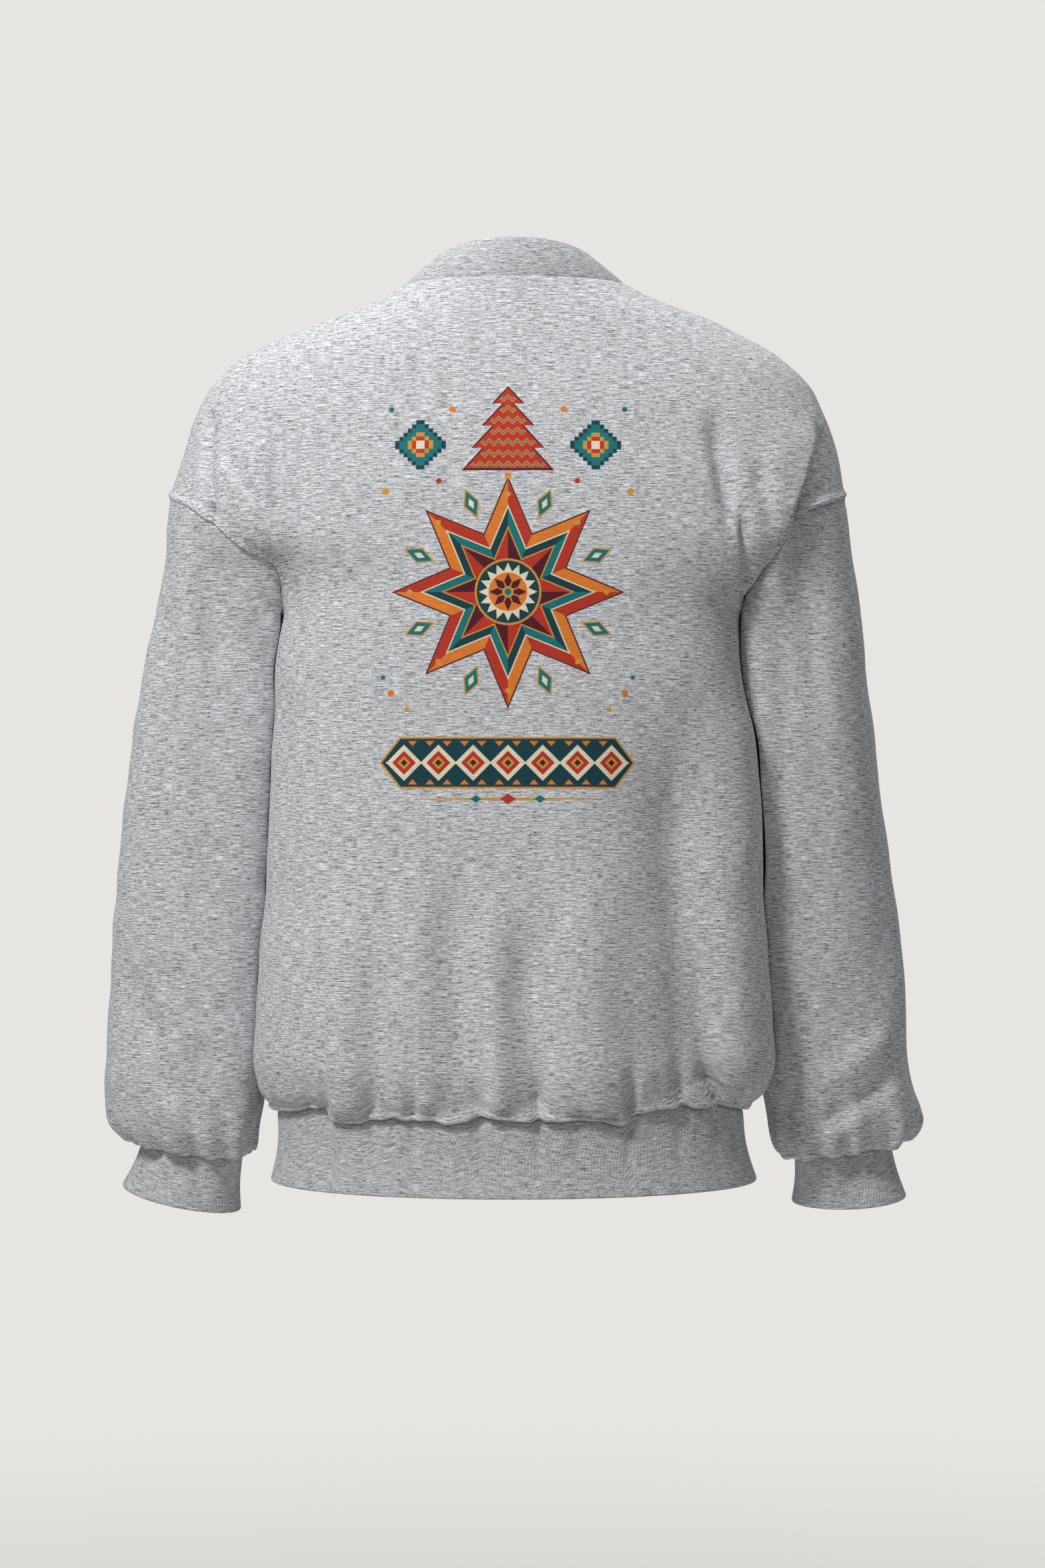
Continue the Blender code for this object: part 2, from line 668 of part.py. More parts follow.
def paint(name, colour, roughness):
    """A plain material with the cloth's colour."""
    material = bpy.data.materials.get(name)
    if material is None:
        material = bpy.data.materials.new(name)
        material.use_nodes = True
        shader = material.node_tree.nodes["Principled BSDF"]
        shader.inputs["Base Color"].default_value = (*colour, 1)
        shader.inputs["Roughness"].default_value = roughness
        shader.inputs["Metallic"].default_value = 0
    return material


def cloth(name, grid, wall, finish, collection, closed=False):
    """An object from a grid of points: a loft with its wall on the inside."""
    rows, columns = grid.shape[:2]
    index = np.arange(rows * columns).reshape(rows, columns)
    if closed:
        index = np.concatenate([index, index[:, :1]], axis=1)
    corners = index[:-1, :-1], index[:-1, 1:], index[1:, 1:], index[1:, :-1]
    faces = np.stack([corner.ravel() for corner in corners], axis=1)
    middle = grid.reshape(-1, 3).mean(axis=0)
    outward = np.sum(normals(grid, closed) * (grid - middle) * np.array([1, 1, 0]))
    if outward < 0:
        faces = faces[:, ::-1]
    mesh = bpy.data.meshes.new(name)
    mesh.from_pydata((grid.reshape(-1, 3) * MM).tolist(), [], faces.tolist())
    mesh.materials.append(paint(*finish))
    mesh.shade_smooth()
    piece = bpy.data.objects.new(name, mesh)
    solidify = piece.modifiers.new("wall", "SOLIDIFY")
    solidify.thickness = wall * MM
    solidify.offset = -1
    collection.objects.link(piece)
    return piece


def main():
    for old in list(bpy.data.objects):
        bpy.data.objects.remove(old, do_unlink=True)
    collection = bpy.data.collections.new("crewneck sweatshirt")
    bpy.context.scene.collection.children.link(collection)

    seams = ("first row", "last row")
    back = panel(1, BACK_COLUMNS, BACK_FOLDS, BACK_GATHERS)
    front = panel(-1, FRONT_COLUMNS, FRONT_FOLDS, FRONT_GATHERS)
    all_edges = (*seams, "first column", "last column")
    cloth("back_panel", trimmed(back, all_edges), FLEECE_WALL, FLEECE, collection)
    cloth("front_panel", trimmed(front, all_edges), FLEECE_WALL, FLEECE, collection)

    for side, column, lip in (("left", -1, -2), ("right", 0, 1)):
        ring, beside = (
            np.concatenate([back[AT_ARMHOLE, at], front[AT_ARMHOLE, at][-2:0:-1]])
            for at in (column, lip)
        )
        arm = sleeve(side, ring, beside)
        wrist = tube(arm[-1], cuff_opening(side, len(ring)), RIB_ROWS, -1.5)
        from_underarm = np.linalg.norm(ring - ring[0], axis=1, keepdims=True)
        gap = ARMHOLE_GAP + (UNDERARM_GAP - ARMHOLE_GAP) * ease(-30, -5, -from_underarm)
        arm = trimmed(trimmed(arm, seams[1:]), seams[:1], gap - SEAM_GAP / 2)
        cloth(f"{side}_sleeve", arm, FLEECE_WALL, FLEECE, collection, True)
        cloth(f"{side}_cuff", trimmed(wrist, seams[:1]), RIB_WALL, RIB, collection, True)

    shares = [np.linspace(0, 1, count + 1) for count in (BACK_COLUMNS, FRONT_COLUMNS)]
    hem = tube(joined(back[0], front[0]), hem_opening(*shares), RIB_ROWS, -HEM_OPENING["waist"])
    cloth("hem_rib", trimmed(hem, seams[:1]), RIB_WALL, RIB, collection, True)
    neck = tube(joined(back[-1], front[-1]), neck_opening(*shares), RIB_ROWS, 1.5)[:, ::2]
    cloth("neck_rib", trimmed(neck, seams[:1]), RIB_WALL, RIB, collection, True)


main()
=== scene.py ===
"""Looks of a heather grey crewneck sweatshirt, filled out as if worn and seen from behind.

The tables are in millimetres and the meshes in metres. +Z is up and the wearer would face -Y.
Each piece of cloth is a grid of points worked out from its sections, with its folds and seams
raised or sunk along the cloth's normal. Its UV map is in metres of cloth, across and up.
"""

import math
from functools import partialmethod

import bpy
import numpy as np
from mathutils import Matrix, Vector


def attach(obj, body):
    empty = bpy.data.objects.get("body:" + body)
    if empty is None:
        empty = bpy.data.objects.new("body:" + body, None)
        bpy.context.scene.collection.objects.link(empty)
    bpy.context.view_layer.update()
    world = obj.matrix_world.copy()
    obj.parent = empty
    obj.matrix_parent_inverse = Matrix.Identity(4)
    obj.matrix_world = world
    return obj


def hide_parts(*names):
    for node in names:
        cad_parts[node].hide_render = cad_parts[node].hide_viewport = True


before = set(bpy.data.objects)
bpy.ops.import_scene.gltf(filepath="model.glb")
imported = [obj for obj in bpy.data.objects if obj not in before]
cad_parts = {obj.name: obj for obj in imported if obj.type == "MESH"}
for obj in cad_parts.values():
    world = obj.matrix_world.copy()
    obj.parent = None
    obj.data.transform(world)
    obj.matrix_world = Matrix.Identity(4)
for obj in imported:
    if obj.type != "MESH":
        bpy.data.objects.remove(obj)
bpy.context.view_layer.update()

MM = 0.001
FLEECE_WALL = 2.2
RIB_WALL = 3.0
OUTWARD = {"left": 1, "right": -1}
EDGE_COLUMN = {"left": -1, "right": 0}

# How finely the pieces' grids, and curves before they are spread, are divided.
BACK_COLUMNS = 256
FRONT_COLUMNS = 170
BODY_ROWS = 76
ARMHOLE_ROWS = 60
SHOULDER_ROWS = 50
SLEEVE_ROWS = 210
RIB_ROWS = 14
FINE = 481
AT_ARMHOLE = slice(BODY_ROWS, BODY_ROWS + ARMHOLE_ROWS + 1)

# Heights of the seams and edges.
HEM_SEAM = -622.0
HEM_EDGE = -674.0
UNDERARM = -262.0
SHOULDER_TIP = -166.0
NECK_SIDE = -7.0
NECK_BACK = -9.0
NECK_FRONT = -88.0
SLEEVE_TOP = -214.0

# How far a sleeve's end is drawn up inside its swell over the cuff, its room beside the body,
# the length over which it loses the armhole's shape, how square its sections are, and how far
# their outer side turns forward.
SLEEVE_BLOUSE = 7.0
SLEEVE_CLEARANCE = 0.3
RING_FALL = 60.0
SLEEVE_SQUARE = 3.0
SLEEVE_TURN = math.radians(11)

# Lengths of cloth over which rows are evened out and folds stay clear of the seams beside
# them, and the share of a fold over which it fades at each end.
EVEN_OVER = 14.0
EDGE_MARGIN = 25.0
FOLD_FADE = 0.3

# How deep each seam's ditch is and how high its ridge, and the ripples' length and height.
SEAMS = dict(armhole=(0.3, 2.0), side=(0.5, 0.3), hem=(0.3, 0.8), neck=(0.2, 0.3), cuff=(0.2, 1.5))
PANEL_RIPPLES = (46, 0.35)
SLEEVE_RIPPLES = (44, 0.5)


def table(names, *rows):
    """A table's columns as arrays, by name."""
    return dict(zip(names.split(), np.array(rows, float).T))


# Half widths of the body below the armhole, at its widest.
SIDES = table(
    "height left right",
    (HEM_SEAM, 176, 173.5), (-612, 186, 187), (-597, 190.5, 194), (-554, 190, 194),
    (-500, 187, 190), (-440, 184, 185), (-351, 179.5, 178), (-302, 175.5, 169),
    (UNDERARM, 173.5, 168.5),
)

# Half widths along the shoulder seam, from its low end to the neck.
SHOULDERS = table(
    "height left right",
    (SHOULDER_TIP, 256, 249.5), (-132.5, 245.5, 244.5), (-102.5, 236, 233.5),
    (-82.5, 224.5, 224), (-62.5, 203.5, 202), (-47, 174, 177), (-32.5, 135, 148),
    (-20, 104.5, 113), (NECK_SIDE, 81, 86),
)

# How far the centre back and the centre front stand out.
BACK_PROFILE = table(
    "height depth",
    (HEM_SEAM, 119), (-612, 127), (-597, 131.5), (-560, 131), (-450, 126), (-350, 122),
    (UNDERARM, 119), (-200, 116), (-150, 110), (-100, 99), (-60, 86), (-30, 75),
    (NECK_BACK, 67),
)
FRONT_PROFILE = table(
    "height depth",
    (HEM_SEAM, 115), (-612, 122), (-597, 126), (-560, 126), (-450, 122), (-350, 123),
    (UNDERARM, 127), (-200, 126), (-150, 118), (-115, 106), (NECK_FRONT, 95),
)

# Where a section is widest, where its side seam runs, and how square it is.
SECTIONS = table(
    "height widest seam square",
    (HEM_SEAM, 6, 0, 2.2), (-597, 10, -2, 2.4), (-450, 22, -6, 2.55), (-350, 26, -8, 2.6),
    (UNDERARM, 28, -8, 2.6), (-236, 22, -8, 2.55), (-200, 4, -8, 2.5),
    (SHOULDER_TIP, -8, -8, 2.5), (-110, -8, -8, 2.4), (-60, -8, -8, 2.2),
    (NECK_SIDE, -6, -6, 2.05),
)

# The armhole from the underarm to the shoulder tip: share of the way up, how far the body's
# section reaches there between its widths at both ends, and depth behind and in front.
ARMHOLE = table(
    "up reach_left reach_right back_left back_right front",
    (0.00, 0.00, 0.00, -8, -8, -8),
    (0.10, -0.01, 0.02, 28, 28, -42),
    (0.27, 0.03, 0.17, 56, 52, -64),
    (0.45, 0.25, 0.44, 70, 66, -78),
    (0.61, 0.71, 0.70, 73, 74, -85),
    (0.76, 0.93, 0.92, 67, 74, -80),
    (0.91, 1.02, 1.02, 47, 53, -54),
    (1.00, 1.00, 1.00, -8, -8, -8),
)

# Sleeve sections: inner and outer edge of each side, depth, set forward, and tilts in degrees.
SLEEVES = table(
    "height left_in left_out right_in right_out deep forward lean pitch",
    (-663, 204, 282, 215, 289, 31, 42, 8, 6),
    (-661, 202.5, 284.5, 212.5, 291.5, 35, 42, 7, 6),
    (-652, 198.5, 293, 204, 303.5, 42, 41, 6, 6),
    (-641, 196, 303.5, 198.5, 310, 48, 40, 5, 6),
    (-630, 193, 307.5, 195, 309, 51, 39, 4, 6),
    (-615, 189, 310, 191.5, 305, 53, 38, 3, 5),
    (-590, 186, 308.5, 187, 301.5, 53, 35, 3, 5),
    (-550, 182.5, 305.6, 182, 299, 53, 32, 3, 4),
    (-500, 179, 303, 177, 296, 54, 28, 4, 4),
    (-450, 174.5, 298, 171, 289, 55, 24, 5, 4),
    (-400, 171.5, 292.8, 166.5, 282, 57, 20, 7, 3),
    (-350, 168, 285.5, 162, 276, 60, 17, 11, 3),
    (-300, 165.5, 276.5, 159, 268.5, 65, 13, 20, 2),
    (-265, 165, 268, 157.5, 261.5, 71, 10, 30, 1),
    (-235, 165, 260, 157, 254.5, 79, 6, 40, 0),
    (SLEEVE_TOP, 166, 256, 159, 249.5, 86, 4, 47, 0),
)

# Edges of the bands: centre, half widths and depths, and tilts in degrees. A waist is how far
# a band draws in between its seam and its edge; the neck's swells, and is tucked in less.
CUFF_EDGES = {
    "left": dict(out=252, height=-694, wide=46, deep=33, forward=44, lean=12, pitch=8),
    "right": dict(out=257, height=-695, wide=43.5, deep=33, forward=44, lean=3, pitch=8),
}
CUFF_WAIST = 1.5
HEM_OPENING = dict(left=180, right=183, back=114, front=112, widest=4, square=2.1, waist=3)
NECK_OPENING = dict(side=61, back=61, front=80, level=7.5, back_rise=12, front_drop=70, middle=-2)
NECK_SWELL = 1.5
NECK_TUCK = 0.3

# Soft folds: a line from (x, z) to (x, z), bowed sideways, with its half width, and its
# height, which is negative for a trough.
FOLD_COLUMNS = "x_top z_top x_low z_low bow width height"
BACK_FOLDS = table(
    FOLD_COLUMNS,
    (-145, -102, -163, -216, 0, 8, -8),
    (-177, -144, -188, -204, 0, 6, -5),
    (-196, -120, -180, -225, 0, 12, 3),
    (190, -115, 184, -225, 0, 14, 3),
    (154, -110, 164, -310, 0, 15, -5),
    (-165, -290, -178, -470, 0, 14, 4),
    (160, -280, 172, -520, 4, 18, -4),
    (46, -420, 31, -680, 0, 14, -7),
    (-7, -460, -21, -680, 0, 15, -8),
    (-123, -310, -153, -680, 4, 22, -15),
    (-98, -300, -121, -680, 0, 32, -10),
    (-145, -480, -162, -680, 0, 10, -6),
    (100, -470, 96, -680, 0, 10, -4),
    (68, -430, 64, -680, 0, 14, 3),
    (12, -440, 8, -680, 0, 12, 4),
    (-50, -430, -60, -680, 0, 20, 6),
    (118, -440, 124, -680, 0, 24, 5),
)
FRONT_FOLDS = table(
    FOLD_COLUMNS,
    (205, -110, 160, -285, 8, 12, -8),
    (-203, -110, -156, -285, -8, 12, -8),
    (160, -110, 135, -300, 0, 16, -5),
    (-155, -115, -130, -290, 0, 16, -5),
    (62, -400, 70, -660, 0, 22, -6),
    (-20, -380, -14, -660, 0, 24, -5),
    (-92, -420, -100, -660, 0, 22, -6),
    (130, -430, 134, -660, 0, 18, -5),
    (22, -420, 26, -660, 0, 24, 4),
    (-58, -420, -60, -660, 0, 22, 4),
    (100, -430, 104, -660, 0, 20, 4),
)

# Sharp creases: points (x, z) along each, the height and reach of the lobe on its left as it
# runs, the depth and half width of the valley on its right, the depth of the groove on the
# line, the shares of its way over which it fades in and out, the share left at its low end,
# and how soft it is.
FINE_CREASE = dict(
    lobe=2.4, reach=9, valley=1.6, width=7, groove=3.4, start=0.15, end=0.15, low=1, soft=1.8
)
BACK_CREASES = (
    (
        (-227.4, -113), (-222.2, -137), (-215.2, -157), (-208.5, -177), (-202, -196.5),
        (-191, -213.6), (-181.7, -227.7), (-174.4, -241.5), (-170, -256),
        dict(lobe=7, reach=26, valley=6, width=10, groove=5, start=0.12, end=0.2, low=0.55, soft=1),
    ),
    (
        (-166, -174), (-166.5, -196), (-167, -214), (-167, -232), (-168, -250),
        dict(lobe=3, reach=10, valley=3, width=7, groove=3, start=0.2, end=0.1, low=1, soft=1.5),
    ),
    (
        (222.3, -100.6), (224, -120), (223.3, -139.4), (221, -168), (216.9, -196.9),
        FINE_CREASE,
    ),
    (
        (214, -136.5), (197.4, -155), (188, -169), (180.1, -182.2), (174.3, -206.6),
        dict(FINE_CREASE, end=0.4),
    ),
    (
        (184.9, -108.7), (172.7, -127.2), (171.7, -137.5), (172.9, -182.6), (172, -204),
        dict(FINE_CREASE, groove=2.6, end=0.5),
    ),
)

# The right armhole's seam lies under a fold from this height down, and the sleeve rises beside
# it, at once and for a long way.
FOLD_COVERS = -184.0
UNDER_FOLD = dict(rise=12.0, over=6.0, fall=120.0)

# Gathers over the hem: place along x, half width, depth, and which side stands up.
GATHER_COLUMNS = "x width depth lean"
BACK_GATHERS = table(
    GATHER_COLUMNS,
    (150, 6, 3, 1), (132, 4, 5, -1), (104, 6, 5, 1), (73, 5, 6, 1), (50, 6, 2.5, -1),
    (25, 6, 5, 1), (-18, 4, 6, 1), (-45, 8, 2, 1), (-85, 4, 7, 1), (-123, 5, 6, 1),
    (-154, 5, 6, -1),
)
FRONT_GATHERS = table(
    GATHER_COLUMNS,
    (138, 6, 5, 1), (110, 6, 3, -1), (92, 6, 5, 1), (40, 6, 5, -1), (12, 6, 3, 1),
    (-12, 6, 5, 1), (-66, 6, 5, -1), (-90, 6, 3, 1), (-116, 6, 5, 1), (-150, 6, 4, -1),
)

# How high over the hem and cuffs a gather is deepest, and the hem seam's raised lip: how far it
# stands out, and the lengths of cloth over which it rises and falls.
GATHER_PEAK = 13.0
HEM_LIP = dict(out=4.5, rise=(0, 1.2), fall=(3.0, 6.8))

# The hem seam's wave: place along x and how far the seam is drawn up. It is level past
# WAVE_END and dies away upwards over WAVE_FALL.
WAVE_END = 172.0
WAVE_FALL = 22.0
BACK_WAVE = table(
    "x lift",
    (-172, 0), (-160, 4.0), (-147, 4.9), (-95, 4.9), (-91, 3.9), (-87, -0.8), (-63, -0.4),
    (-6, -0.4), (22.6, 1.6), (34, -0.8), (49, -3.2), (60, 0.1), (73, -2.7), (82, 2), (92, -0.4),
    (109, -3.7), (126, -3.0), (131, -2.4), (134.5, 4.6), (140, 5.4), (154, 2.5), (172, 0),
)
FRONT_WAVE = table(
    "x lift",
    (-172, 0), (-150, 2.5), (-116, 1.5), (-66, -1.5), (-12, 0.5), (40, 2), (92, -1.5), (138, 2),
    (172, 0),
)

# Folds on the back of the sleeves, by place, and on their front.
SLEEVE_BACKS = {
    "left": table(
        FOLD_COLUMNS,
        (256, -175, 262, -510, 0, 12, -4.5),
        (221, -195, 222, -310, 0, 11, -3.5),
        (238, -200, 244, -480, 0, 12, 3),
        (292, -500, 222, -650, 8, 9, -6),
        (240, -560, 200, -660, 4, 8, -5),
        (272, -560, 214, -640, 5, 10, 4),
        (262, -610, 236, -652, 0, 7, 4),
        (220, -625, 208, -655, 0, 7, 3),
    ),
    "right": table(
        FOLD_COLUMNS,
        (232, -190, 246, -560, 0, 14, 4),
        (268, -220, 284, -560, 0, 12, -4),
        (200, -240, 198, -500, 0, 11, -4),
        (296, -590, 214, -640, 6, 8, -5),
        (290, -560, 226, -612, 0, 10, 4),
        (262, -615, 244, -648, 0, 9, 4),
        (214, -560, 206, -650, 0, 8, -4),
    ),
}
SLEEVE_FRONTS = table(
    FOLD_COLUMNS,
    (262, -320, 190, -410, 6, 12, -7),
    (276, -385, 190, -465, 6, 12, -7),
    (274, -352, 196, -437, 0, 13, 5),
    (226, -230, 238, -360, 0, 14, -4),
    (300, -560, 216, -640, 6, 11, -5),
    (290, -470, 206, -530, 5, 11, -4),
)

# Gathers over a cuff: how many go round, how deep, and where they start.
CUFF_GATHERS = 13
CUFF_GATHER_DEPTH = 2.6
CUFF_GATHER_TURN = {"left": 0.6, "right": 2.0}


def smooth(at, knots, values):
    """A smooth curve through a table's points: cubics with their neighbours' mean slopes."""
    at = np.asarray(at, float)
    slope = np.gradient(values, knots)
    i = np.clip(np.searchsorted(knots, at) - 1, 0, len(knots) - 2)
    step = knots[i + 1] - knots[i]
    t = np.clip((at - knots[i]) / step, 0, 1)
    start = values[i] * (1 + 2 * t) * (1 - t) ** 2 + slope[i] * step * t * (1 - t) ** 2
    return start + values[i + 1] * t * t * (3 - 2 * t) + slope[i + 1] * step * t * t * (t - 1)


def read(columns, name, height):
    """A column of a table at any height."""
    return smooth(height, columns["height"], columns[name])


def ease(low, high, value):
    """0 below low, 1 above high, and smooth between: 3t^2 - 2t^3."""
    t = np.clip((value - low) / (high - low), 0, 1)
    return t * t * (3 - 2 * t)


def bump(distance, width):
    """A bell: e to the minus square of distance over width."""
    return np.exp(-((distance / width) ** 2))


def squared(wave, square):
    """A sine or cosine that draws a superellipse in place of a circle."""
    return np.sign(wave) * np.abs(wave) ** (2 / square)


def lengths(points, axis=0):
    """How far each point lies along its line of points."""
    steps = np.linalg.norm(np.diff(points, axis=axis), axis=-1)
    pad = [(0, 0)] * steps.ndim
    pad[axis] = (1, 0)
    return np.cumsum(np.pad(steps, pad), axis=axis)


def spread(points, shares):
    """Points at shares of the length of a line of points."""
    along = lengths(points)
    return np.stack([np.interp(shares * along[-1], along, line) for line in points.T], axis=1)


def half_shares(columns):
    """Shares of a row from its middle to its end, for columns that draw closer to the end."""
    part = np.linspace(0, 1, columns // 2 + 1)
    return 0.5 * part + 0.5 * (1 - (1 - part) ** 2)


def section(height):
    """Widest place, square, and the depths from it to the back and to the front."""
    widest = read(SECTIONS, "widest", height)
    square = read(SECTIONS, "square", height)
    back = read(BACK_PROFILE, "depth", np.minimum(height, NECK_BACK)) - widest
    front = read(FRONT_PROFILE, "depth", np.minimum(height, NECK_FRONT)) + widest
    return widest, square, back, front


def section_share(y, height):
    """How wide a section is at a depth y, as a share of its widest."""
    widest, square, back, front = section(height)
    share = np.abs(y - widest) / np.where(y > widest, back, front)
    return np.maximum(1 - share**square, 0) ** (1 / square)


def armhole(side):
    """The armhole's two halves from the underarm to the shoulder tip, back and front.

    Each half's table is continued at both ends with the other half's next row, so the two
    halves meet smoothly.
    """
    low, high = read(SIDES, side, UNDERARM), read(SHOULDERS, side, SHOULDER_TIP)
    last = len(ARMHOLE["up"]) - 1
    knots, at = np.arange(-1, last + 2), np.linspace(0, last, 60 * last + 1)
    halves = []
    out = f"reach_{side}"
    faces = (f"back_{side}", "front")
    for face, other in (faces, faces[::-1]):
        wrapped = {
            name: np.concatenate([[ARMHOLE[beyond][1]], ARMHOLE[name], [ARMHOLE[beyond][-2]]])
            for name, beyond in (("up", "up"), (out, out), (face, other))
        }
        up, reach, y = (smooth(at, knots, wrapped[name]) for name in ("up", out, face))
        z = UNDERARM + (SHOULDER_TIP - UNDERARM) * up
        x = (low + (high - low) * reach) * section_share(y, z)
        halves.append(spread(np.stack([x, y, z], axis=1), np.linspace(0, 1, ARMHOLE_ROWS + 1)))
    return halves


def side_edges(side):
    """Where each row of the back and of the front ends: side seam, armhole, shoulder seam.

    Rows stand closer together towards the hem.
    """
    body = np.linspace(0, 1, BODY_ROWS + 1)[:-1] ** 1.35
    height = HEM_SEAM + (UNDERARM - HEM_SEAM) * body
    seam = read(SECTIONS, "seam", height)
    width = read(SIDES, side, height) * section_share(seam, height)
    below = np.stack([width, seam, height], axis=1)
    tip_to_neck = np.linspace(SHOULDER_TIP, NECK_SIDE, 400)
    ridge = [read(SHOULDERS, side, tip_to_neck), read(SECTIONS, "seam", tip_to_neck), tip_to_neck]
    above = spread(np.stack(ridge, axis=1), np.linspace(0, 1, SHOULDER_ROWS + 1))[1:]
    back, front = armhole(side)
    return np.concatenate([below, back, above]), np.concatenate([below, front, above])


def half_row(ends, middle_height, face, shares):
    """Half of each row of a panel, from the centre line to its end.

    A row is part of a superellipse through its end point: x = reach * sin^(2/n) and
    y = widest + depth * cos^(2/n), spread by shares of the cloth's length. Its height goes
    from the middle's to the end's as the 1.4th power of a cosine.
    """
    x, y, z = ends.T[..., None]
    middle = middle_height[:, None]
    _, square, back, front = section(np.clip(np.minimum(middle, z), HEM_SEAM, NECK_SIDE))
    widest = read(SECTIONS, "widest", z)
    back = read(BACK_PROFILE, "depth", middle) - widest if face > 0 else back
    front = read(FRONT_PROFILE, "depth", middle) + widest if face < 0 else front
    near, far = (back, front)[::face]
    offset = (y - widest) * face
    share = offset / np.where(offset > 0, near, far)
    part = np.linspace(0, 1, FINE)
    turn = np.arccos(np.sign(share) * np.abs(share) ** (square / 2)) * part
    reach = x / (1 - np.abs(share) ** square) ** (1 / square)
    cosine = np.cos(turn)
    depth = face * np.where(cosine > 0, near, far) * squared(cosine, square)
    drop = np.cos(part * math.pi / 2) ** 1.4
    lines = reach * squared(np.sin(turn), square), widest + depth, z + (middle - z) * drop
    return np.stack([spread(line, shares) for line in np.stack(lines, axis=2)])


def normals(grid, closed=False):
    """Unit normals of a grid of points, pointing out where its columns run to the right."""
    if closed:
        wrapped = np.concatenate([grid[:, -1:], grid, grid[:, :1]], axis=1)
        along = np.gradient(wrapped, axis=1)[:, 1:-1]
    else:
        along = np.gradient(grid, axis=1)
    normal = np.cross(along, np.gradient(grid, axis=0))
    return normal / np.linalg.norm(normal, axis=2, keepdims=True)


def fold_heights(folds, x, z):
    """The sum of a table's folds: bells across lines bowed as parabolas, faded at their ends."""
    total = np.zeros_like(x)
    for x1, z1, x2, z2, bow, width, height in zip(*folds.values()):
        length = math.hypot(x2 - x1, z2 - z1)
        along = ((x - x1) * (x2 - x1) + (z - z1) * (z2 - z1)) / length**2
        aside = ((x - x1) * (z1 - z2) + (z - z1) * (x2 - x1)) / length
        run = np.clip(along, 0, 1)
        aside = aside - bow * 4 * run * (1 - run)
        fade = ease(0, FOLD_FADE, along) * ease(0, FOLD_FADE, 1 - along)
        total += height * fade * bump(aside, width)
    return total


def beside_line(points, x, z):
    """Distance to the left of a smooth line through points, share of the way, and past its ends."""
    points = np.array(points, float)
    ways = np.linspace(0, 1, 60)
    knots = np.arange(len(points))
    line = np.stack([smooth(ways * knots[-1], knots, part) for part in points.T], axis=1)
    slope = np.gradient(line, axis=0)
    slope = slope / np.linalg.norm(slope, axis=1, keepdims=True)
    nearest = np.full(x.shape, np.inf)
    aside, share = np.zeros_like(x), np.zeros_like(x)
    for way, (px, pz), (sx, sz) in zip(ways, line, slope):
        distance = (x - px) ** 2 + (z - pz) ** 2
        closer = distance < nearest
        nearest = np.where(closer, distance, nearest)
        aside = np.where(closer, sx * (z - pz) - sz * (x - px), aside)
        share = np.where(closer, way, share)
    beyond = np.sqrt(np.maximum(nearest - aside**2, 0))
    return aside, share, beyond


def crease_heights(creases, x, z):
    """Creases: a lobe that rises at once left of the line and sinks slowly, beside a valley.

    The lobe rises as 1 - e^-d over 1.4 mm, the valley's wall is a logistic step over 0.8 mm,
    and the groove is a bell 1.7 mm wide, each times how soft the crease is. It fades out
    between 2.5 and 9 mm past its ends.
    """
    total = np.zeros_like(x)
    for *points, shape in creases:
        lobe, reach, valley, width, groove, start, end, low, soft = shape.values()
        aside, share, beyond = beside_line(points, x, z)
        fade = ease(-0.01, start, share) * ease(-0.01, end, 1 - share) * ease(-9, -2.5, -beyond)
        left = np.maximum(aside, 0)
        raised = lobe * (1 - np.exp(-left / (1.4 * soft))) * np.exp(-left / reach)
        sunk = valley * bump(aside, width) / (1 + np.exp(aside / (0.8 * soft)))
        share_left = 1 + (low - 1) * ease(0.35, 0.8, share)
        total += fade * (share_left * (raised - sunk) - groove * bump(aside + 0.4, 1.7 * soft))
    return total


def gather_heights(gathers, x, rise):
    """Troughs over the hem, deepest at GATHER_PEAK above it: rise * e^(1 - rise).

    Each is a bell that widens upwards, and its lean tilts the cloth so that one side stands up.
    """
    swell = (rise + 3) / GATHER_PEAK
    swell = swell * np.exp(1 - swell)
    total = np.zeros_like(x)
    for place, width, depth, lean in zip(*gathers.values()):
        aside = (x - place) / (width * (1 + rise / 50))
        total -= depth * (1 - 0.9 * lean * aside) * bump(aside, 1) * swell
    return total


def distance_to(line, grid):
    """How far each point of a grid lies from the nearest point of a line, made dense first."""
    nearest = np.full(grid.shape[:-1], np.inf)
    for point in spread(line, np.linspace(0, 1, 260)):
        nearest = np.minimum(nearest, ((grid - point) ** 2).sum(axis=-1))
    return np.sqrt(nearest)


def seam_profile(distance, deep, ridge):
    """A seam beside its joint: a ditch at it, and a ridge that two rows of stitches press down.

    The ditch is a bell 0.9 mm wide. The ridge is flat to 3.4 mm and falls as a bell over 2.4,
    and the rows are bells 0.5 mm wide at 1.6 and 4.2 mm.
    """
    rise = ridge * bump(np.maximum(distance - 3.4, 0), 2.4) * ease(0.2, 1.6, distance)
    rows = 0.3 * ridge * (bump(distance - 1.6, 0.5) + bump(distance - 4.2, 0.5))
    return rise - deep * bump(distance, 0.9) - rows


def evened(grid, edge):
    """The grid with its columns evened out over EVEN_OVER, between the shoulders and the chest.

    Each point is moved to the mean of its column near it, weighted by a bell.
    """
    along = lengths(grid)
    apart = along[:, None] - along[None]
    weight = np.exp(-((apart / EVEN_OVER) ** 2) / 2) * np.gradient(along, axis=0)[None]
    mean = np.einsum("ijc,jcd->icd", weight, grid) / weight.sum(axis=1)[..., None]
    z = grid[..., 2]
    share = ease(0, 30, edge) * ease(-340, -290, z) * ease(70, 110, -z)
    return grid + (mean - grid) * share[..., None]


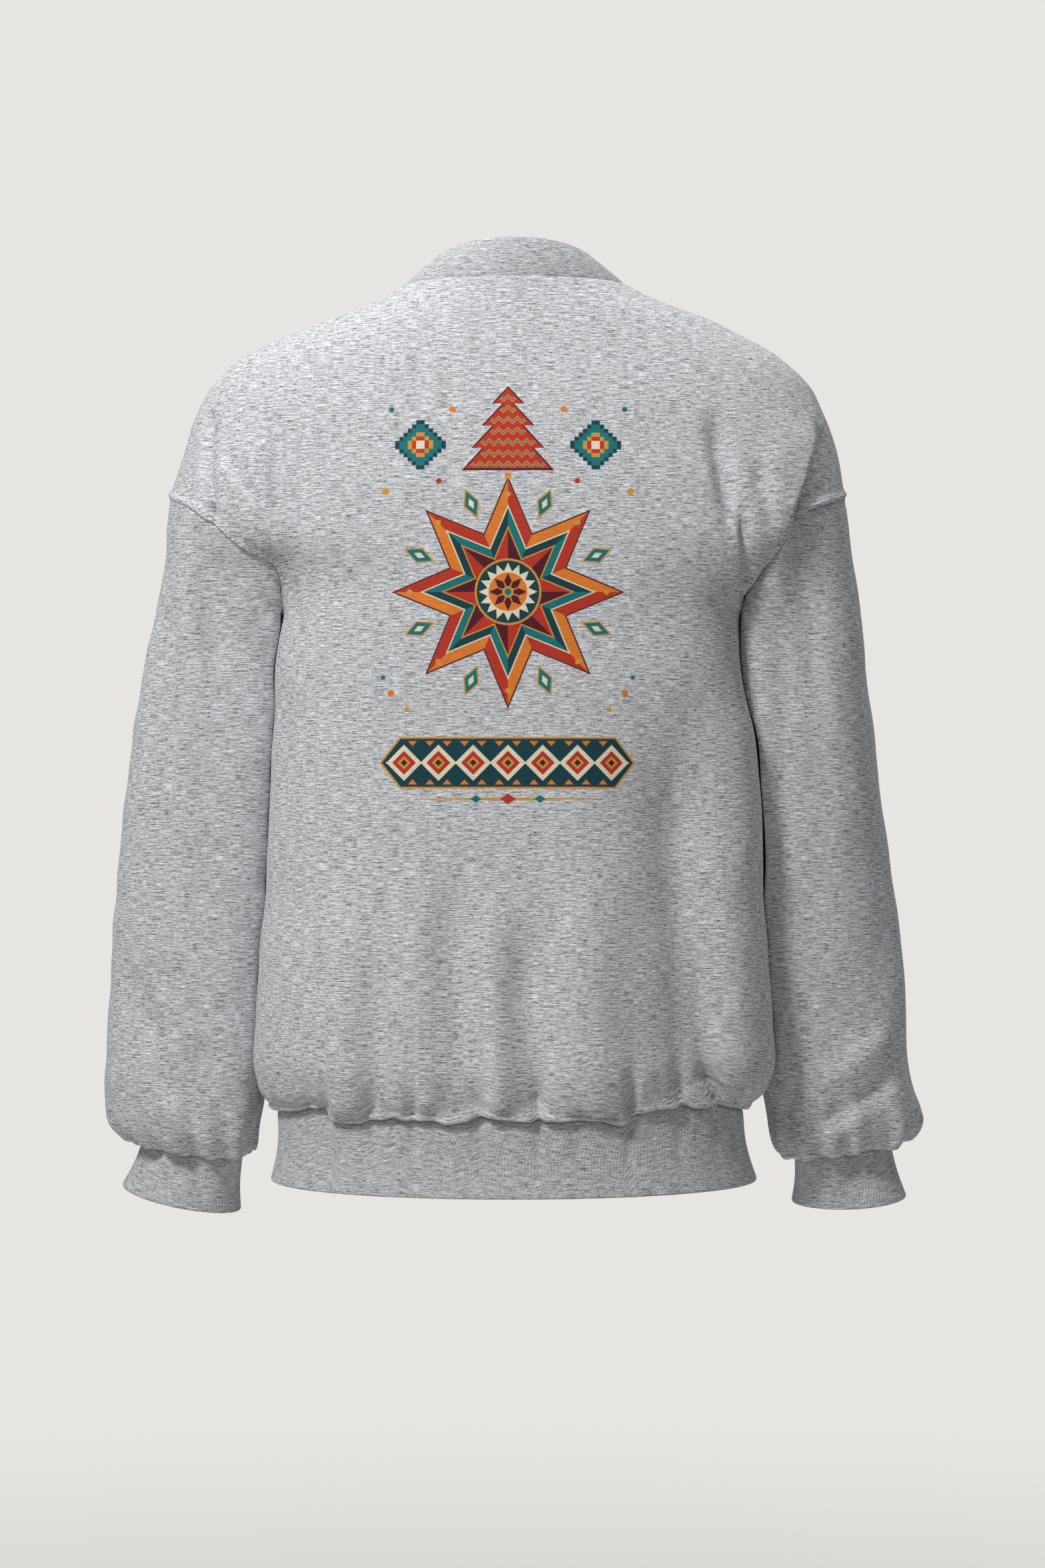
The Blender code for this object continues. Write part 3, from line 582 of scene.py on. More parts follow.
def ripples(x, z, seed, size, height):
    """Small uneven ripples: twelve sine waves in random directions, of lengths near size."""
    random = np.random.default_rng(seed)
    total = np.zeros_like(x)
    for turn, phase, stretch in random.random((12, 3)):
        angle = turn * math.pi
        length = size * (0.6 + 0.9 * stretch)
        along = x * math.cos(angle) + z * math.sin(angle)
        total += np.sin(along * 2 * math.pi / length + phase * 7)
    return total * height / math.sqrt(12)


def panel(face, columns, folds, creases, gathers, wave):
    """The back (face 1) or front (face -1): a grid with rows from the hem up, columns in +X order.

    Folds, creases, gathers, ripples and seams are heights along the normal. The hem seam's lip
    stands out level, and its wave lifts the cloth, as e^-(height over the seam / WAVE_FALL).
    """
    halves = []
    high = NECK_BACK if face > 0 else NECK_FRONT
    for side in ("right", "left"):
        ends = side_edges(side)[0 if face > 0 else 1]
        above = (ends[:, 2] - SHOULDER_TIP) / (NECK_SIDE - SHOULDER_TIP)
        lifted = SHOULDER_TIP + (high - SHOULDER_TIP) * above
        middle = np.where(above > 0, lifted, ends[:, 2])
        middle[AT_ARMHOLE] = np.linspace(UNDERARM, SHOULDER_TIP, ARMHOLE_ROWS + 1)
        half = half_row(ends, middle, face, half_shares(columns))
        halves.append(half * np.array([OUTWARD[side], 1, 1]))
    grid = np.concatenate([halves[0][:, ::-1], halves[1][:, 1:]], axis=1)
    along = lengths(grid, axis=1)
    edge = np.minimum(along, along[:, -1:] - along)
    grid = evened(grid, edge)
    places = level_map(grid, columns // 2)
    x, z = grid[..., 0], grid[..., 2]
    rise = z - HEM_SEAM
    clear = ease(0, EDGE_MARGIN, edge)
    at_armhole = ease(UNDERARM, UNDERARM + 20, z) * ease(-SHOULDER_TIP, -SHOULDER_TIP + 20, -z)
    free = np.maximum(clear, at_armhole) * ease(0, 12, rise) * ease(0, 30, NECK_SIDE - z)
    height = (fold_heights(folds, x, z) + crease_heights(creases, x, z)) * free
    height += gather_heights(gathers, x, rise) * clear
    height += ripples(x, z, 3 + face, *PANEL_RIPPLES) * clear * ease(0, 30, rise)
    for column in (0, -1):
        away = distance_to(grid[AT_ARMHOLE, column], grid)
        covered = ease(-FOLD_COVERS - 4, -FOLD_COVERS + 4, -z) * (face > 0 and column == 0)
        height += seam_profile(away, *SEAMS["armhole"]) * (1 - covered)
        for seam in (grid[: BODY_ROWS + 1], grid[BODY_ROWS + ARMHOLE_ROWS :]):
            height += seam_profile(distance_to(seam[:, column], grid), *SEAMS["side"])
    above_hem = lengths(grid)
    height += seam_profile(above_hem, *SEAMS["hem"])
    height += seam_profile(distance_to(grid[-1], grid), *SEAMS["neck"])
    out = normals(grid) * -face
    shaped = grid + out * height[..., None]
    lip = ease(*HEM_LIP["rise"], above_hem) * (1 - ease(*HEM_LIP["fall"], above_hem))
    shaped += out * np.array([1, 1, 0]) * (HEM_LIP["out"] * lip)[..., None]
    lift = smooth(np.clip(x, -WAVE_END, WAVE_END), wave["x"], wave["lift"])
    shaped[..., 2] += lift * np.exp(-rise / WAVE_FALL)
    return shaped, places


def cloth_map(grid):
    """Places in metres of cloth, across from the first column and up from the first row."""
    return np.stack([lengths(grid, axis=1), lengths(grid)], axis=2) * MM


def level_map(grid, middle):
    """Places in metres of cloth whose courses run level: across in plan, and up by height.

    The height counts along the middle column's own length, so the cloth isn't stretched
    where it slopes in to the neck.
    """
    across = lengths(grid[..., :2], axis=1)
    height, along = grid[:, middle, 2], lengths(grid[:, middle])
    up = np.interp(grid[..., 2], height, along)
    slope = (along[-1] - along[-2]) / (height[-1] - height[-2])
    up = up + np.maximum(grid[..., 2] - height[-1], 0) * slope
    return np.stack([across - across[:, middle : middle + 1], up], axis=2) * MM


def upright_map(grid):
    """Places in metres of cloth for an upright tube: across in plan, and up by height."""
    across = lengths(grid[..., :2], axis=1)
    return np.stack([across - across[:, 1:2], grid[..., 2]], axis=2) * MM


def sleeve(side, ring, walls):
    """A sleeve as a closed grid, from the armhole's points to the cuff seam.

    A section is a superellipse between its inner and outer edge, leaning out at the top. The
    first rows ease from the armhole's own shape into the sections: the way the armhole differs
    is split into waves round it, and a wave of order n sinks as e to the minus n - 1 times the
    distance over RING_FALL. The inner face stays clear of the body's walls. Under the right
    armhole's fold the sleeve is raised back by UNDER_FOLD, as (1 - e^-d/over) * e^-d/fall.
    """
    outward = np.array([OUTWARD[side], 1, 1])
    low = SLEEVES["height"][0]
    share = np.linspace(0, 1, SLEEVE_ROWS + 1)[:, None]
    height = SLEEVE_TOP + (low - SLEEVE_TOP) * (1 - (1 - share) ** 1.25)
    names = f"{side}_in", f"{side}_out", "deep", "forward", "lean", "pitch"
    inner, outer, deep, forward, lean, pitch = (read(SLEEVES, name, height) for name in names)
    lean, pitch = np.radians(lean), np.radians(pitch)
    half = (outer - inner) / 2 / np.cos(lean)
    angle = math.pi - 2 * math.pi * np.linspace(0, 1, 6001)
    rim = np.stack([squared(part(angle), SLEEVE_SQUARE) for part in (np.cos, np.sin)], axis=1)
    cosine, sine = spread(rim, np.arange(len(ring)) / len(ring)).T
    x = (inner + outer) / 2 + half * np.cos(lean) * cosine
    y = -forward + deep * np.cos(pitch) * sine - half * math.sin(SLEEVE_TURN) * cosine
    z = height + half * np.sin(lean) * cosine - deep * np.sin(pitch) * sine
    grid = np.stack([x, y, z], axis=2)
    way = (SLEEVE_TOP - height) / (SLEEVE_TOP - low)
    waves = np.fft.rfft(ring * outward - grid[0], axis=0)
    order = np.maximum(np.arange(len(waves)) - 1, 0)
    fall = np.exp(-order * (SLEEVE_TOP - height) / RING_FALL) * (1 - ease(0, 0.33, way))
    grid = grid + np.fft.irfft(waves * fall[..., None], n=len(ring), axis=1)
    grid = clear_of_body(grid, walls, way)
    normal = normals(grid, closed=True)
    facing = np.sign(np.sum(normal[..., 0] * cosine))
    move = sleeve_folds(grid, side, height, cosine, sine)
    distance = lengths(grid)
    move += seam_profile(distance[-1] - distance, *SEAMS["cuff"])
    move -= 1.3 * bump(distance, 3.5) * ease(0, 1.2, distance)
    grid = grid + normal * (move * facing)[..., None]
    if side == "right":
        under = ease(-FOLD_COVERS - 2, -SLEEVE_TOP, -ring[:, 2]) * ease(0, 30, ring[:, 1])
        risen = 1 - np.exp(-distance / UNDER_FOLD["over"])
        left = np.exp(-distance / UNDER_FOLD["fall"])
        grid[..., 1] += UNDER_FOLD["rise"] * under * risen * left
    grid[..., 2] += ease(0.975, 1.0, way) * SLEEVE_BLOUSE
    return grid * outward


def body_walls(side, back, front):
    """The shaped body beside a sleeve: heights, depths, and its half width at each of both."""
    depths = np.linspace(-105, 115, 111)
    widths = []
    for behind, before in zip(back[: BODY_ROWS + 1], front[: BODY_ROWS + 1]):
        halves = [row[len(row) // 2 :: OUTWARD[side]] for row in (before, behind)]
        line = np.concatenate([halves[0], halves[1][::-1]])
        line = line[np.argsort(line[:, 1])]
        widths.append(np.interp(depths, line[:, 1], np.abs(line[:, 0])))
    return back[: BODY_ROWS + 1, EDGE_COLUMN[side], 2], depths, np.array(widths)


def wall_at(walls, y, z):
    """The half width of the shaped body at any depth and height, between four known places."""
    heights, depths, widths = walls
    row = np.clip(np.interp(z, heights, np.arange(len(heights))), 0, len(heights) - 1.001)
    place = np.clip(np.interp(y, depths, np.arange(len(depths))), 0, len(depths) - 1.001)
    i, k = row.astype(int), place.astype(int)
    above, along = row - i, place - k
    low, high = (widths[r, k] * (1 - along) + widths[r, k + 1] * along for r in (i, i + 1))
    return low * (1 - above) + high * above


def clear_of_body(grid, walls, way):
    """The sleeve's points, moved out to SLEEVE_CLEARANCE from the body where they are nearer.

    The limit is soft: limit + soft * log(1 + e^(over / soft)).
    """
    limit = wall_at(walls, grid[..., 1], grid[..., 2]) + SLEEVE_CLEARANCE
    soft = 0.8
    moved = limit + soft * np.logaddexp(0, (grid[..., 0] - limit) / soft)
    below = ease(-UNDERARM - 16, -UNDERARM - 6, -grid[..., 2])
    grid = grid.copy()
    grid[..., 0] += (moved - grid[..., 0]) * below * (way > 0)
    return grid


def sleeve_folds(grid, side, height, cosine, sine):
    """Moves along the normal for the sleeve's folds, gathers and ripples."""
    x, z = grid[..., 0], grid[..., 2]
    back = fold_heights(SLEEVE_BACKS[side], x, z)
    front = fold_heights(SLEEVE_FRONTS, x, z)
    to_back = ease(-0.3, 0.3, sine)
    move = back * to_back + front * (1 - to_back)
    rise = (height - height[-1]) / GATHER_PEAK
    angle = np.arctan2(sine, cosine)
    turn = CUFF_GATHER_TURN[side]
    wave = np.cos(CUFF_GATHERS * angle + 1.4 * np.sin(2 * angle + turn) + turn)
    wave += 0.6 * np.cos((CUFF_GATHERS + 6) * angle - 1.1 * np.sin(3 * angle) + turn)
    move = move + CUFF_GATHER_DEPTH * wave * rise * np.exp(1 - rise)
    seed = 11 if side == "left" else 12
    move = move + ripples(cosine * 55 + 0 * x, z, seed, *SLEEVE_RIPPLES)
    return move * ease(0, EDGE_MARGIN, height[0] - height)


def joined(behind, before):
    """The closed line round the body from one edge of the back and of the front."""
    return np.concatenate([behind, before[-2:0:-1]])


def band(name, top, bottom, swell, tucked=1.5):
    """A doubled band of rib from a seam to its folded edge, closed both ways.

    The outside runs from top to bottom, drawn in or let out by swell * sin(pi * share) and
    tucked under the seam above it, then turns through a half circle as wide as the wall, and
    the inside runs back up.
    """
    share = np.linspace(0, 1, RIB_ROWS + 1)[:, None, None] ** 1.3
    outside = top * (1 - share) + bottom * share
    away = outside - outside.mean(axis=1, keepdims=True)
    away[..., 2] = 0
    away = away / np.linalg.norm(away, axis=2, keepdims=True)
    outside = outside + away * (swell * np.sin(math.pi * share) - tucked * np.exp(-share * 14))
    normal = normals(outside, closed=True)
    normal = normal * np.sign(np.sum(normal * away))
    down = outside[-1] - outside[-2]
    down = down / np.linalg.norm(down, axis=1, keepdims=True)
    turn = np.linspace(0, math.pi, 9)[1:-1, None, None]
    edge = outside[-1] - normal[-1] * RIB_WALL / 2 * (1 - np.cos(turn))
    edge = edge + down * RIB_WALL / 2 * np.sin(turn)
    inside = (outside - normal * RIB_WALL)[::-1]
    grid = np.concatenate([outside, edge, inside])
    piece(name, grid, cloth_map(grid), (rib_knit,), tube=True, ring=True)


def hem_opening():
    """The hem's lower edge: half a superellipse behind and half in front, low in the middle."""
    turn = np.linspace(-math.pi / 2, math.pi / 2, FINE)
    sine, cosine = np.sin(turn), np.abs(np.cos(turn))
    square, widest = HEM_OPENING["square"], HEM_OPENING["widest"]
    x = np.where(sine > 0, HEM_OPENING["left"], HEM_OPENING["right"]) * squared(sine, square)
    z = HEM_EDGE - 2 * cosine
    back, front = (HEM_OPENING[face] * squared(cosine, square) for face in ("back", "front"))
    return edge_line(x, (widest + back, z), (widest - front, z))


def neck_opening():
    """The neck band's upper edge: half an ellipse behind, and a deeper, lower one in front."""
    turn = np.linspace(-math.pi / 2, math.pi / 2, FINE)
    cosine = np.abs(np.cos(turn))
    x = NECK_OPENING["middle"] + NECK_OPENING["side"] * np.sin(turn)
    back, front = (NECK_OPENING[face] * cosine for face in ("back", "front"))
    behind = NECK_OPENING["level"] + NECK_OPENING["back_rise"] * cosine
    before = NECK_OPENING["level"] - NECK_OPENING["front_drop"] * cosine**1.4
    return edge_line(x, (back, behind), (-front, before))


def edge_line(x, *faces):
    """A closed edge from x, y and z behind and in front, spread as the panels' columns are."""
    lines = []
    for columns, (y, z) in zip((BACK_COLUMNS, FRONT_COLUMNS), faces):
        half = 0.5 * half_shares(columns)
        shares = np.concatenate([0.5 - half[::-1], 0.5 + half[1:]])
        lines.append(spread(np.stack([x, y, z], axis=1), shares))
    return joined(*lines)


def cuff_opening(side, count):
    """The cuff's lower edge: a tilted ellipse."""
    edge = CUFF_EDGES[side]
    lean, pitch = math.radians(edge["lean"]), math.radians(edge["pitch"])
    angle = math.pi - 2 * math.pi * np.arange(count) / count
    wide, deep = edge["wide"] * np.cos(angle), edge["deep"] * np.sin(angle)
    x = edge["out"] + math.cos(lean) * wide
    y = -edge["forward"] + math.cos(pitch) * deep
    z = edge["height"] + math.sin(lean) * wide - math.sin(pitch) * deep
    return np.stack([x * OUTWARD[side], y, z], axis=1)


def put(name, data):
    """A new object in the scene."""
    made = bpy.data.objects.new(name, data)
    bpy.context.scene.collection.objects.link(made)
    return made


def piece(name, grid, places, materials, tube=False, ring=False, wall=0):
    """A mesh from a grid of points and its UV places, facing out, with a wall on the inside.

    A tube's last column joins its first, and a ring's last row its first too.
    """
    rows, columns = grid.shape[:2]
    index = np.arange(rows * columns).reshape(rows, columns)
    if tube:
        index = np.concatenate([index, index[:, :1]], axis=1)
        places = np.concatenate([places, 2 * places[:, -1:] - places[:, -2:-1]], axis=1)
    if ring:
        index = np.concatenate([index, index[:1]])
        places = np.concatenate([places, 2 * places[-1:] - places[-2:-1]])
    near, far = slice(None, -1), slice(1, None)
    corners = (near, near), (near, far), (far, far), (far, near)
    normal = normals(grid[: len(grid) // 2 if ring else None], tube)
    outward = grid[: len(normal)] - grid.reshape(-1, 3).mean(axis=0)
    if np.sum(normal * outward * np.array([1, 1, 0])) < 0:
        corners = corners[::-1]
    faces = np.stack([index[at].ravel() for at in corners], axis=1)
    uvs = np.stack([places[at].reshape(-1, 2) for at in corners], axis=1).reshape(-1, 2)
    mesh = bpy.data.meshes.new(name)
    mesh.from_pydata((grid.reshape(-1, 3) * MM).tolist(), [], faces.tolist())
    layer = mesh.uv_layers.new(name="cloth")
    layer.data.foreach_set("uv", uvs.ravel())
    mesh.shade_smooth()
    for material in materials:
        mesh.materials.append(material)
    made = pieces[name] = put(name, mesh)
    if wall:
        solidify = made.modifiers.new("wall", "SOLIDIFY")
        solidify.thickness = wall * MM
        solidify.offset = -1
        solidify.material_offset = 1
        solidify.material_offset_rim = 0


class Maths:
    """A number that changes over a surface, with node arithmetic written as plain sums."""

    def __init__(self, sheet, socket):
        self.sheet, self.socket = sheet, socket

    def do(self, operation, *others, clamp=False):
        """A Math node on this value and others."""
        feeds = dict(enumerate((self, *others)))
        settings = {"operation": operation, "use_clamp": clamp}
        return self.sheet.values("ShaderNodeMath", 0, feeds=feeds, **settings)[0]

    __add__ = partialmethod(do, "ADD")
    __sub__ = partialmethod(do, "SUBTRACT")
    __mul__ = partialmethod(do, "MULTIPLY")
    __truediv__ = partialmethod(do, "DIVIDE")
    __abs__ = partialmethod(do, "ABSOLUTE")
    most = partialmethod(do, "MAXIMUM")

    def inside(self):
        """1 where a distance in millimetres is below 0, and 0 above, over a soft INK_EDGE."""
        return self.do("MULTIPLY_ADD", -1 / INK_EDGE, 0.5, clamp=True)


class Sheet:
    """A node tree being filled, with short ways to add what materials share."""

    def __init__(self, tree):
        self.tree = tree

    def feed(self, node, feeds):
        """Feeds inputs by name or place: a number or colour is set, and the rest is linked."""
        for name, source in feeds.items():
            if isinstance(source, tuple):
                node.inputs[name].default_value = (*source, 1)
            elif isinstance(source, (float, int)):
                node.inputs[name].default_value = source
            else:
                source = source.socket if isinstance(source, Maths) else source
                self.tree.links.new(source, node.inputs[name])

    def node(self, kind, feeds=None, **settings):
        """A node with its settings and what feeds it."""
        made = self.tree.nodes.new(kind)
        for name, value in settings.items():
            setattr(made, name, value)
        self.feed(made, feeds or {})
        return made

    def values(self, kind, *names, feeds=None, **settings):
        """A new node's outputs, by name or place, as values that can be summed."""
        outputs = self.node(kind, feeds, **settings).outputs
        return [Maths(self, outputs[name]) for name in names]

    def noise(self, x, y, detail, roughness=0.5):
        """Noise over a plane, with blobs about 1 wide."""
        place = self.node("ShaderNodeCombineXYZ", {0: x, 1: y}).outputs[0]
        feeds = {"Vector": place, "Scale": 1, "Detail": detail, "Roughness": roughness}
        return self.values("ShaderNodeTexNoise", "Fac", feeds=feeds, noise_dimensions="2D")[0]

    def mix(self, share, low, high):
        """A colour between two others."""
        return self.node("ShaderNodeMix", {0: share, 6: low, 7: high}, data_type="RGBA").outputs[2]

    def scaled(self, colour, factor):
        """A colour times a value."""
        feeds = {0: colour, "Scale": factor}
        return self.node("ShaderNodeVectorMath", feeds, operation="SCALE").outputs[0]


def group(name, inputs, **outputs):
    """A shader node group: the sheet to fill it on, its inputs as values, and its output."""
    tree = bpy.data.node_groups.new(name, "ShaderNodeTree")
    for label in inputs.split():
        tree.interface.new_socket(label, in_out="INPUT", socket_type="NodeSocketFloat")
    for label, kind in outputs.items():
        tree.interface.new_socket(label, in_out="OUTPUT", socket_type=f"NodeSocket{kind}")
    sheet = Sheet(tree)
    return sheet, sheet.values("NodeGroupInput", *inputs.split()), sheet.node("NodeGroupOutput")


# The knit's pitches across and up, in metres.
WALE_PITCH = 0.0011
COURSE_PITCH = 0.0009


def knit_group():
    """Heather yarn: short level streaks of light and dark fibre, and the knit's fine relief.

    Three noises of unlike size, each stretched along the courses, are added up about 1. The
    factors are blobs to a metre, and what is added to a place keeps the noises apart.
    """
    sheet, (across, up, contrast), output = group(
        "heather knit", "Across Up Contrast", Tone="Float", Relief="Float", Fleck="Float"
    )
    streak = sheet.noise(across * 90 + 3, up * 1150, 0.0)
    short = sheet.noise(across * 260 + 31, up * 1150 + 7, 0.0)
    fibre = sheet.noise(across * 850 + 11, up * 1400 + 3, 0.0)
    total = (streak - 0.5) * 1.15 + (short - 0.5) * 1.0 + (fibre - 0.5) * 0.9
    fleck = sheet.noise(across * 260 + 57, up * 900 + 23, 1.0)
    fleck = ((fleck - 0.6) * 6).do("MULTIPLY", 1.0, clamp=True)
    wale = (across * (2 * math.pi / WALE_PITCH)).do("SINE")
    course = (up * (2 * math.pi / COURSE_PITCH) + wale * 0.9).do("SINE")
    relief = course * 0.35 + wale * 0.2 + streak * 1.2
    sheet.feed(output, {"Tone": total * contrast + 1, "Fleck": fleck, "Relief": relief})
    return sheet.tree


def rib_group():
    """Ribs that run up the band: the sine of the distance across, and a painted shade from 0 to 1,
    darker in the ribs' hollows.
    """
    outputs = {"Relief": "Float", "Shade": "Float"}
    sheet, (across, pitch), output = group("rib knit", "Across Pitch", **outputs)
    wave = (across / pitch * (2 * math.pi)).do("SINE")
    sheet.feed(output, {"Relief": wave, "Shade": wave * 0.5 + 0.5})
    return sheet.tree


# Inks, and the width over which an ink's edge is soft.
CREAM = (0.86, 0.76, 0.55)
GOLD = (0.66, 0.33, 0.05)
ORANGE = (0.80, 0.22, 0.025)
RED = (0.52, 0.035, 0.015)
MAROON = (0.085, 0.006, 0.018)
TEAL = (0.006, 0.18, 0.19)
DEEP_TEAL = (0.003, 0.05, 0.065)
INK_EDGE = 0.35

# The print's middle and foot in millimetres of cloth, its scale, and its star's height in it.
PRINT_MIDDLE = 2.4
PRINT_FOOT = 230.0
PRINT_SCALE = 0.955
STAR_MIDDLE = 160.0


def print_group():
    """The print: a quilt star under a stepped tree, two woven diamonds, and a frieze below.

    Distances are in millimetres from the middle of the print's foot. Each motif is a distance
    that is negative inside it, and the inks are laid one over another in order.
    """
    sheet, (x, y), output = group("folk print", "Across Up", Ink="Color", Cover="Float")
    side = abs(x)
    ink, cover = CREAM, None

    def lay(colour, distance):
        """An ink over those before it, where a distance is negative."""
        nonlocal ink, cover
        mask = distance.inside()
        ink = sheet.mix(mask, ink, colour)
        cover = mask if cover is None else cover.most(mask)

    def nest(distance, *inks):
        """Inks one inside another, each with its size."""
        for colour, size in inks:
            lay(colour, distance - size)

    def polar(sectors, turn=0.0):
        """Distances along and across the nearest of the star's arms, and from its middle."""
        from_middle = y - STAR_MIDDLE
        angle = from_middle.do("ARCTAN2", x) + turn
        step = 2 * math.pi / sectors
        inner = angle - (angle / step).do("ROUND") * step
        reach = (x * x + from_middle * from_middle).do("SQRT")
        return reach * inner.do("COSINE"), reach * inner.do("SINE"), reach

    # The quilt star: kites between its arms, then bands round a medallion. Some bands have a
    # second ink on one half of each arm.
    slope, rise = math.sin(math.pi / 8), math.cos(math.pi / 8)
    along, across, reach = polar(8, math.pi / 2)
    facet = along * slope + abs(across) * rise
    half = across.do("GREATER_THAN", 0.0)
    kite_along, kite_across, _ = polar(8, math.pi / 8)
    nest(abs(kite_along - 72) * 0.5 + abs(kite_across), (GOLD, 6.5), (TEAL, 5.2), (CREAM, 2.2))
    for arm, colour, second in (
        (88, MAROON, None),
        (85, ORANGE, RED),
        (66, CREAM, None),
        (63.5, DEEP_TEAL, TEAL),
        (50, GOLD, None),
        (47.5, RED, MAROON),
    ):
        lay(colour, facet - arm * slope)
        if second:
            ink = sheet.mix(half * (facet - arm * slope).inside(), ink, second)
    lay(GOLD, (abs(along - 74) + abs(across)) - 2.6)
    nest(reach, (GOLD, 25), (DEEP_TEAL, 23.4))
    teeth_along, teeth_across, _ = polar(16)
    lay(CREAM, (teeth_along - 22) + abs(teeth_across) * 2.2)
    lay(ORANGE, reach - 14.5)
    lay(MAROON, abs(along - 8) * 0.55 + abs(across) * 1.2 - 3.4)
    nest(reach, (GOLD, 4.2), (TEAL, 2.6))

    # The tree above it: four tiers with zigzags, on a short trunk.
    foot, top = 252, 322
    height = (y - foot) / (top - foot)
    width = (height * -1 + 1) * 30 - (height * 4).do("FRACT") * 8 + 5
    shape = (side - width).most(y * -1 + foot).most(y - top)
    lay(MAROON, shape)
    lay(RED, shape + 1.6)
    zigzag = (x / 3.5).do("PINGPONG", 1.0)
    chevron = abs(((y + zigzag * 3.5) / 8.75).do("PINGPONG", 1.0) - 0.5)
    lay(ORANGE, (shape + 2.6).most((chevron - 0.2) * 8))
    lay(TEAL, (shape + 2.6).most((chevron - 0.07) * 8))
    lay(GOLD, side.most(abs(y - 248)) - 2.6)

    # Two woven diamonds beside the tree, and dots between.
    stitch = 3.2
    woven = ((abs(side - 66) / stitch).do("CEIL") + (abs(y - 272) / stitch).do("CEIL")) * stitch
    nest(woven, (DEEP_TEAL, 23), (TEAL, 19.8), (GOLD, 13.4), (RED, 10.2), (CREAM, 6.6))
    for place, up, size, colour in (
        (42, 300, 2.6, ORANGE),
        (88, 300, 2.2, TEAL),
        (92, 236, 2.8, GOLD),
        (52, 244, 2.2, RED),
        (88, 84, 2.6, ORANGE),
        (94, 96, 1.8, TEAL),
        (76, 72, 2.0, GOLD),
    ):
        gap = (side - place) * (side - place) + (y - up) * (y - up)
        lay(colour, gap.do("SQRT") - size)

    # The frieze below: diamonds on a dark band between gold lines, and a row of teeth.
    strip = abs(y - 32)
    end = side + strip * 0.8 - 97
    lay(GOLD, (strip - 19.5).most(end))
    lay(DEEP_TEAL, (strip - 18).most(end + 2))
    diamond = (x / 13).do("PINGPONG", 1.0) * 13 + strip
    for colour, size, inset in ((CREAM, 13.5, 5), (RED, 9, 6), (GOLD, 5, 6), (MAROON, 2.6, 6)):
        lay(colour, (diamond - size).most(end + inset))
    notch = (x / 6.5).do("PINGPONG", 1.0) * 6.5
    lay(ORANGE, (notch * -1 + (strip * -1 + 18) * 0.9 + 1.5).most(strip - 16.2).most(end + 8))
    lay(GOLD, abs(y - 5) * 10 + side * 0.16 - 12)
    lay(TEAL, abs(y - 5) + abs(side - 24) * 0.7 - 3)
    lay(RED, abs(y - 5) + side * 0.7 - 4.2)

    sheet.feed(output, {"Ink": ink, "Cover": cover})
    return sheet.tree


def new_material(name, finish):
    """A material, the sheet to fill, and its shader, with a finish that is the same all over."""
    material = bpy.data.materials.new(name)
    material.use_nodes = True
    sheet = Sheet(material.node_tree)
    shader = material.node_tree.nodes["Principled BSDF"]
    sheet.feed(shader, finish)
    return material, sheet, shader


# Roughness of cloth and how much smoother the print is, the darker tint of flecks, and how high
# each relief stands, in metres.
CLOTH_ROUGHNESS = 0.92
PRINT_SMOOTHER = 0.25
FLECK_TINT = (0.62, 0.64, 0.7)
KNIT_RELIEF = 0.00006
RIB_RELIEF = 0.0001
FUZZ_RELIEF = 0.0004
PRINT_RELIEF = 0.00008


def cloth_material(name, colour, contrast, rib_pitch=None, inside=False, printed=False):
    """Heather cloth: streaked colour, knit relief, a little sheen, and ribs or the print."""
    finish = {"Specular IOR Level": 0.18, "Sheen Weight": 0.12, "Sheen Roughness": 0.6}
    material, sheet, shader = new_material(name, finish | {"Roughness": CLOTH_ROUGHNESS})

    def use(tree, names, **feeds):
        """A node group's outputs as values."""
        return sheet.values("ShaderNodeGroup", *names.split(), feeds=feeds, node_tree=tree)

    places = sheet.node("ShaderNodeUVMap", uv_map="cloth").outputs[0]
    across, up = sheet.values("ShaderNodeSeparateXYZ", "X", "Y", feeds={0: places})
    tone, fleck, relief = use(KNIT, "Tone Fleck Relief", Across=across, Up=up, Contrast=contrast)
    flecked = tuple(part * tint for part, tint in zip(colour, FLECK_TINT))
    base = sheet.scaled(sheet.mix(fleck * 0.5, colour, flecked), tone)
    relief = relief * KNIT_RELIEF
    if rib_pitch:
        rib, shade = use(RIB, "Relief Shade", Across=across, Pitch=rib_pitch)
        relief = relief + rib * RIB_RELIEF
        # Painted shade: the rib's colour darkens where its wave is low, in the hollows between the
        # ribs.
        base = sheet.scaled(base, shade * 0.06 + 0.95)
    if inside:
        relief = relief * 0.3 + sheet.noise(across * 900, up * 900, 4.0, 0.7) * FUZZ_RELIEF
    if printed:
        x = (across * 1000 - PRINT_MIDDLE) / PRINT_SCALE
        y = (up * 1000 - PRINT_FOOT) / PRINT_SCALE
        ink, cover = use(PRINT, "Ink Cover", Across=x, Up=y)
        base = sheet.mix(cover, base, sheet.scaled(ink, tone * 0.25 + 0.75))
        sheet.feed(shader, {"Roughness": cover * -PRINT_SMOOTHER + CLOTH_ROUGHNESS})
        relief = relief * (cover * -0.5 + 1) + cover * PRINT_RELIEF
    hollow = sheet.node("ShaderNodeBump", {"Strength": 0.8, "Distance": 1.0, "Height": relief})
    sheet.feed(shader, {"Base Color": base, "Normal": hollow.outputs[0]})
    return material


KNIT = knit_group()
RIB = rib_group()
PRINT = print_group()
FLEECE_GREY = (0.60, 0.605, 0.625)
RIB_GREY = (0.58, 0.585, 0.605)
fleece = cloth_material("heather fleece", FLEECE_GREY, 0.95)
printed_fleece = cloth_material("printed heather fleece", FLEECE_GREY, 0.95, printed=True)
brushed = cloth_material("brushed fleece", (0.56, 0.57, 0.585), 0.25, inside=True)
rib_knit = cloth_material("heather rib", RIB_GREY, 0.85, rib_pitch=0.0024)

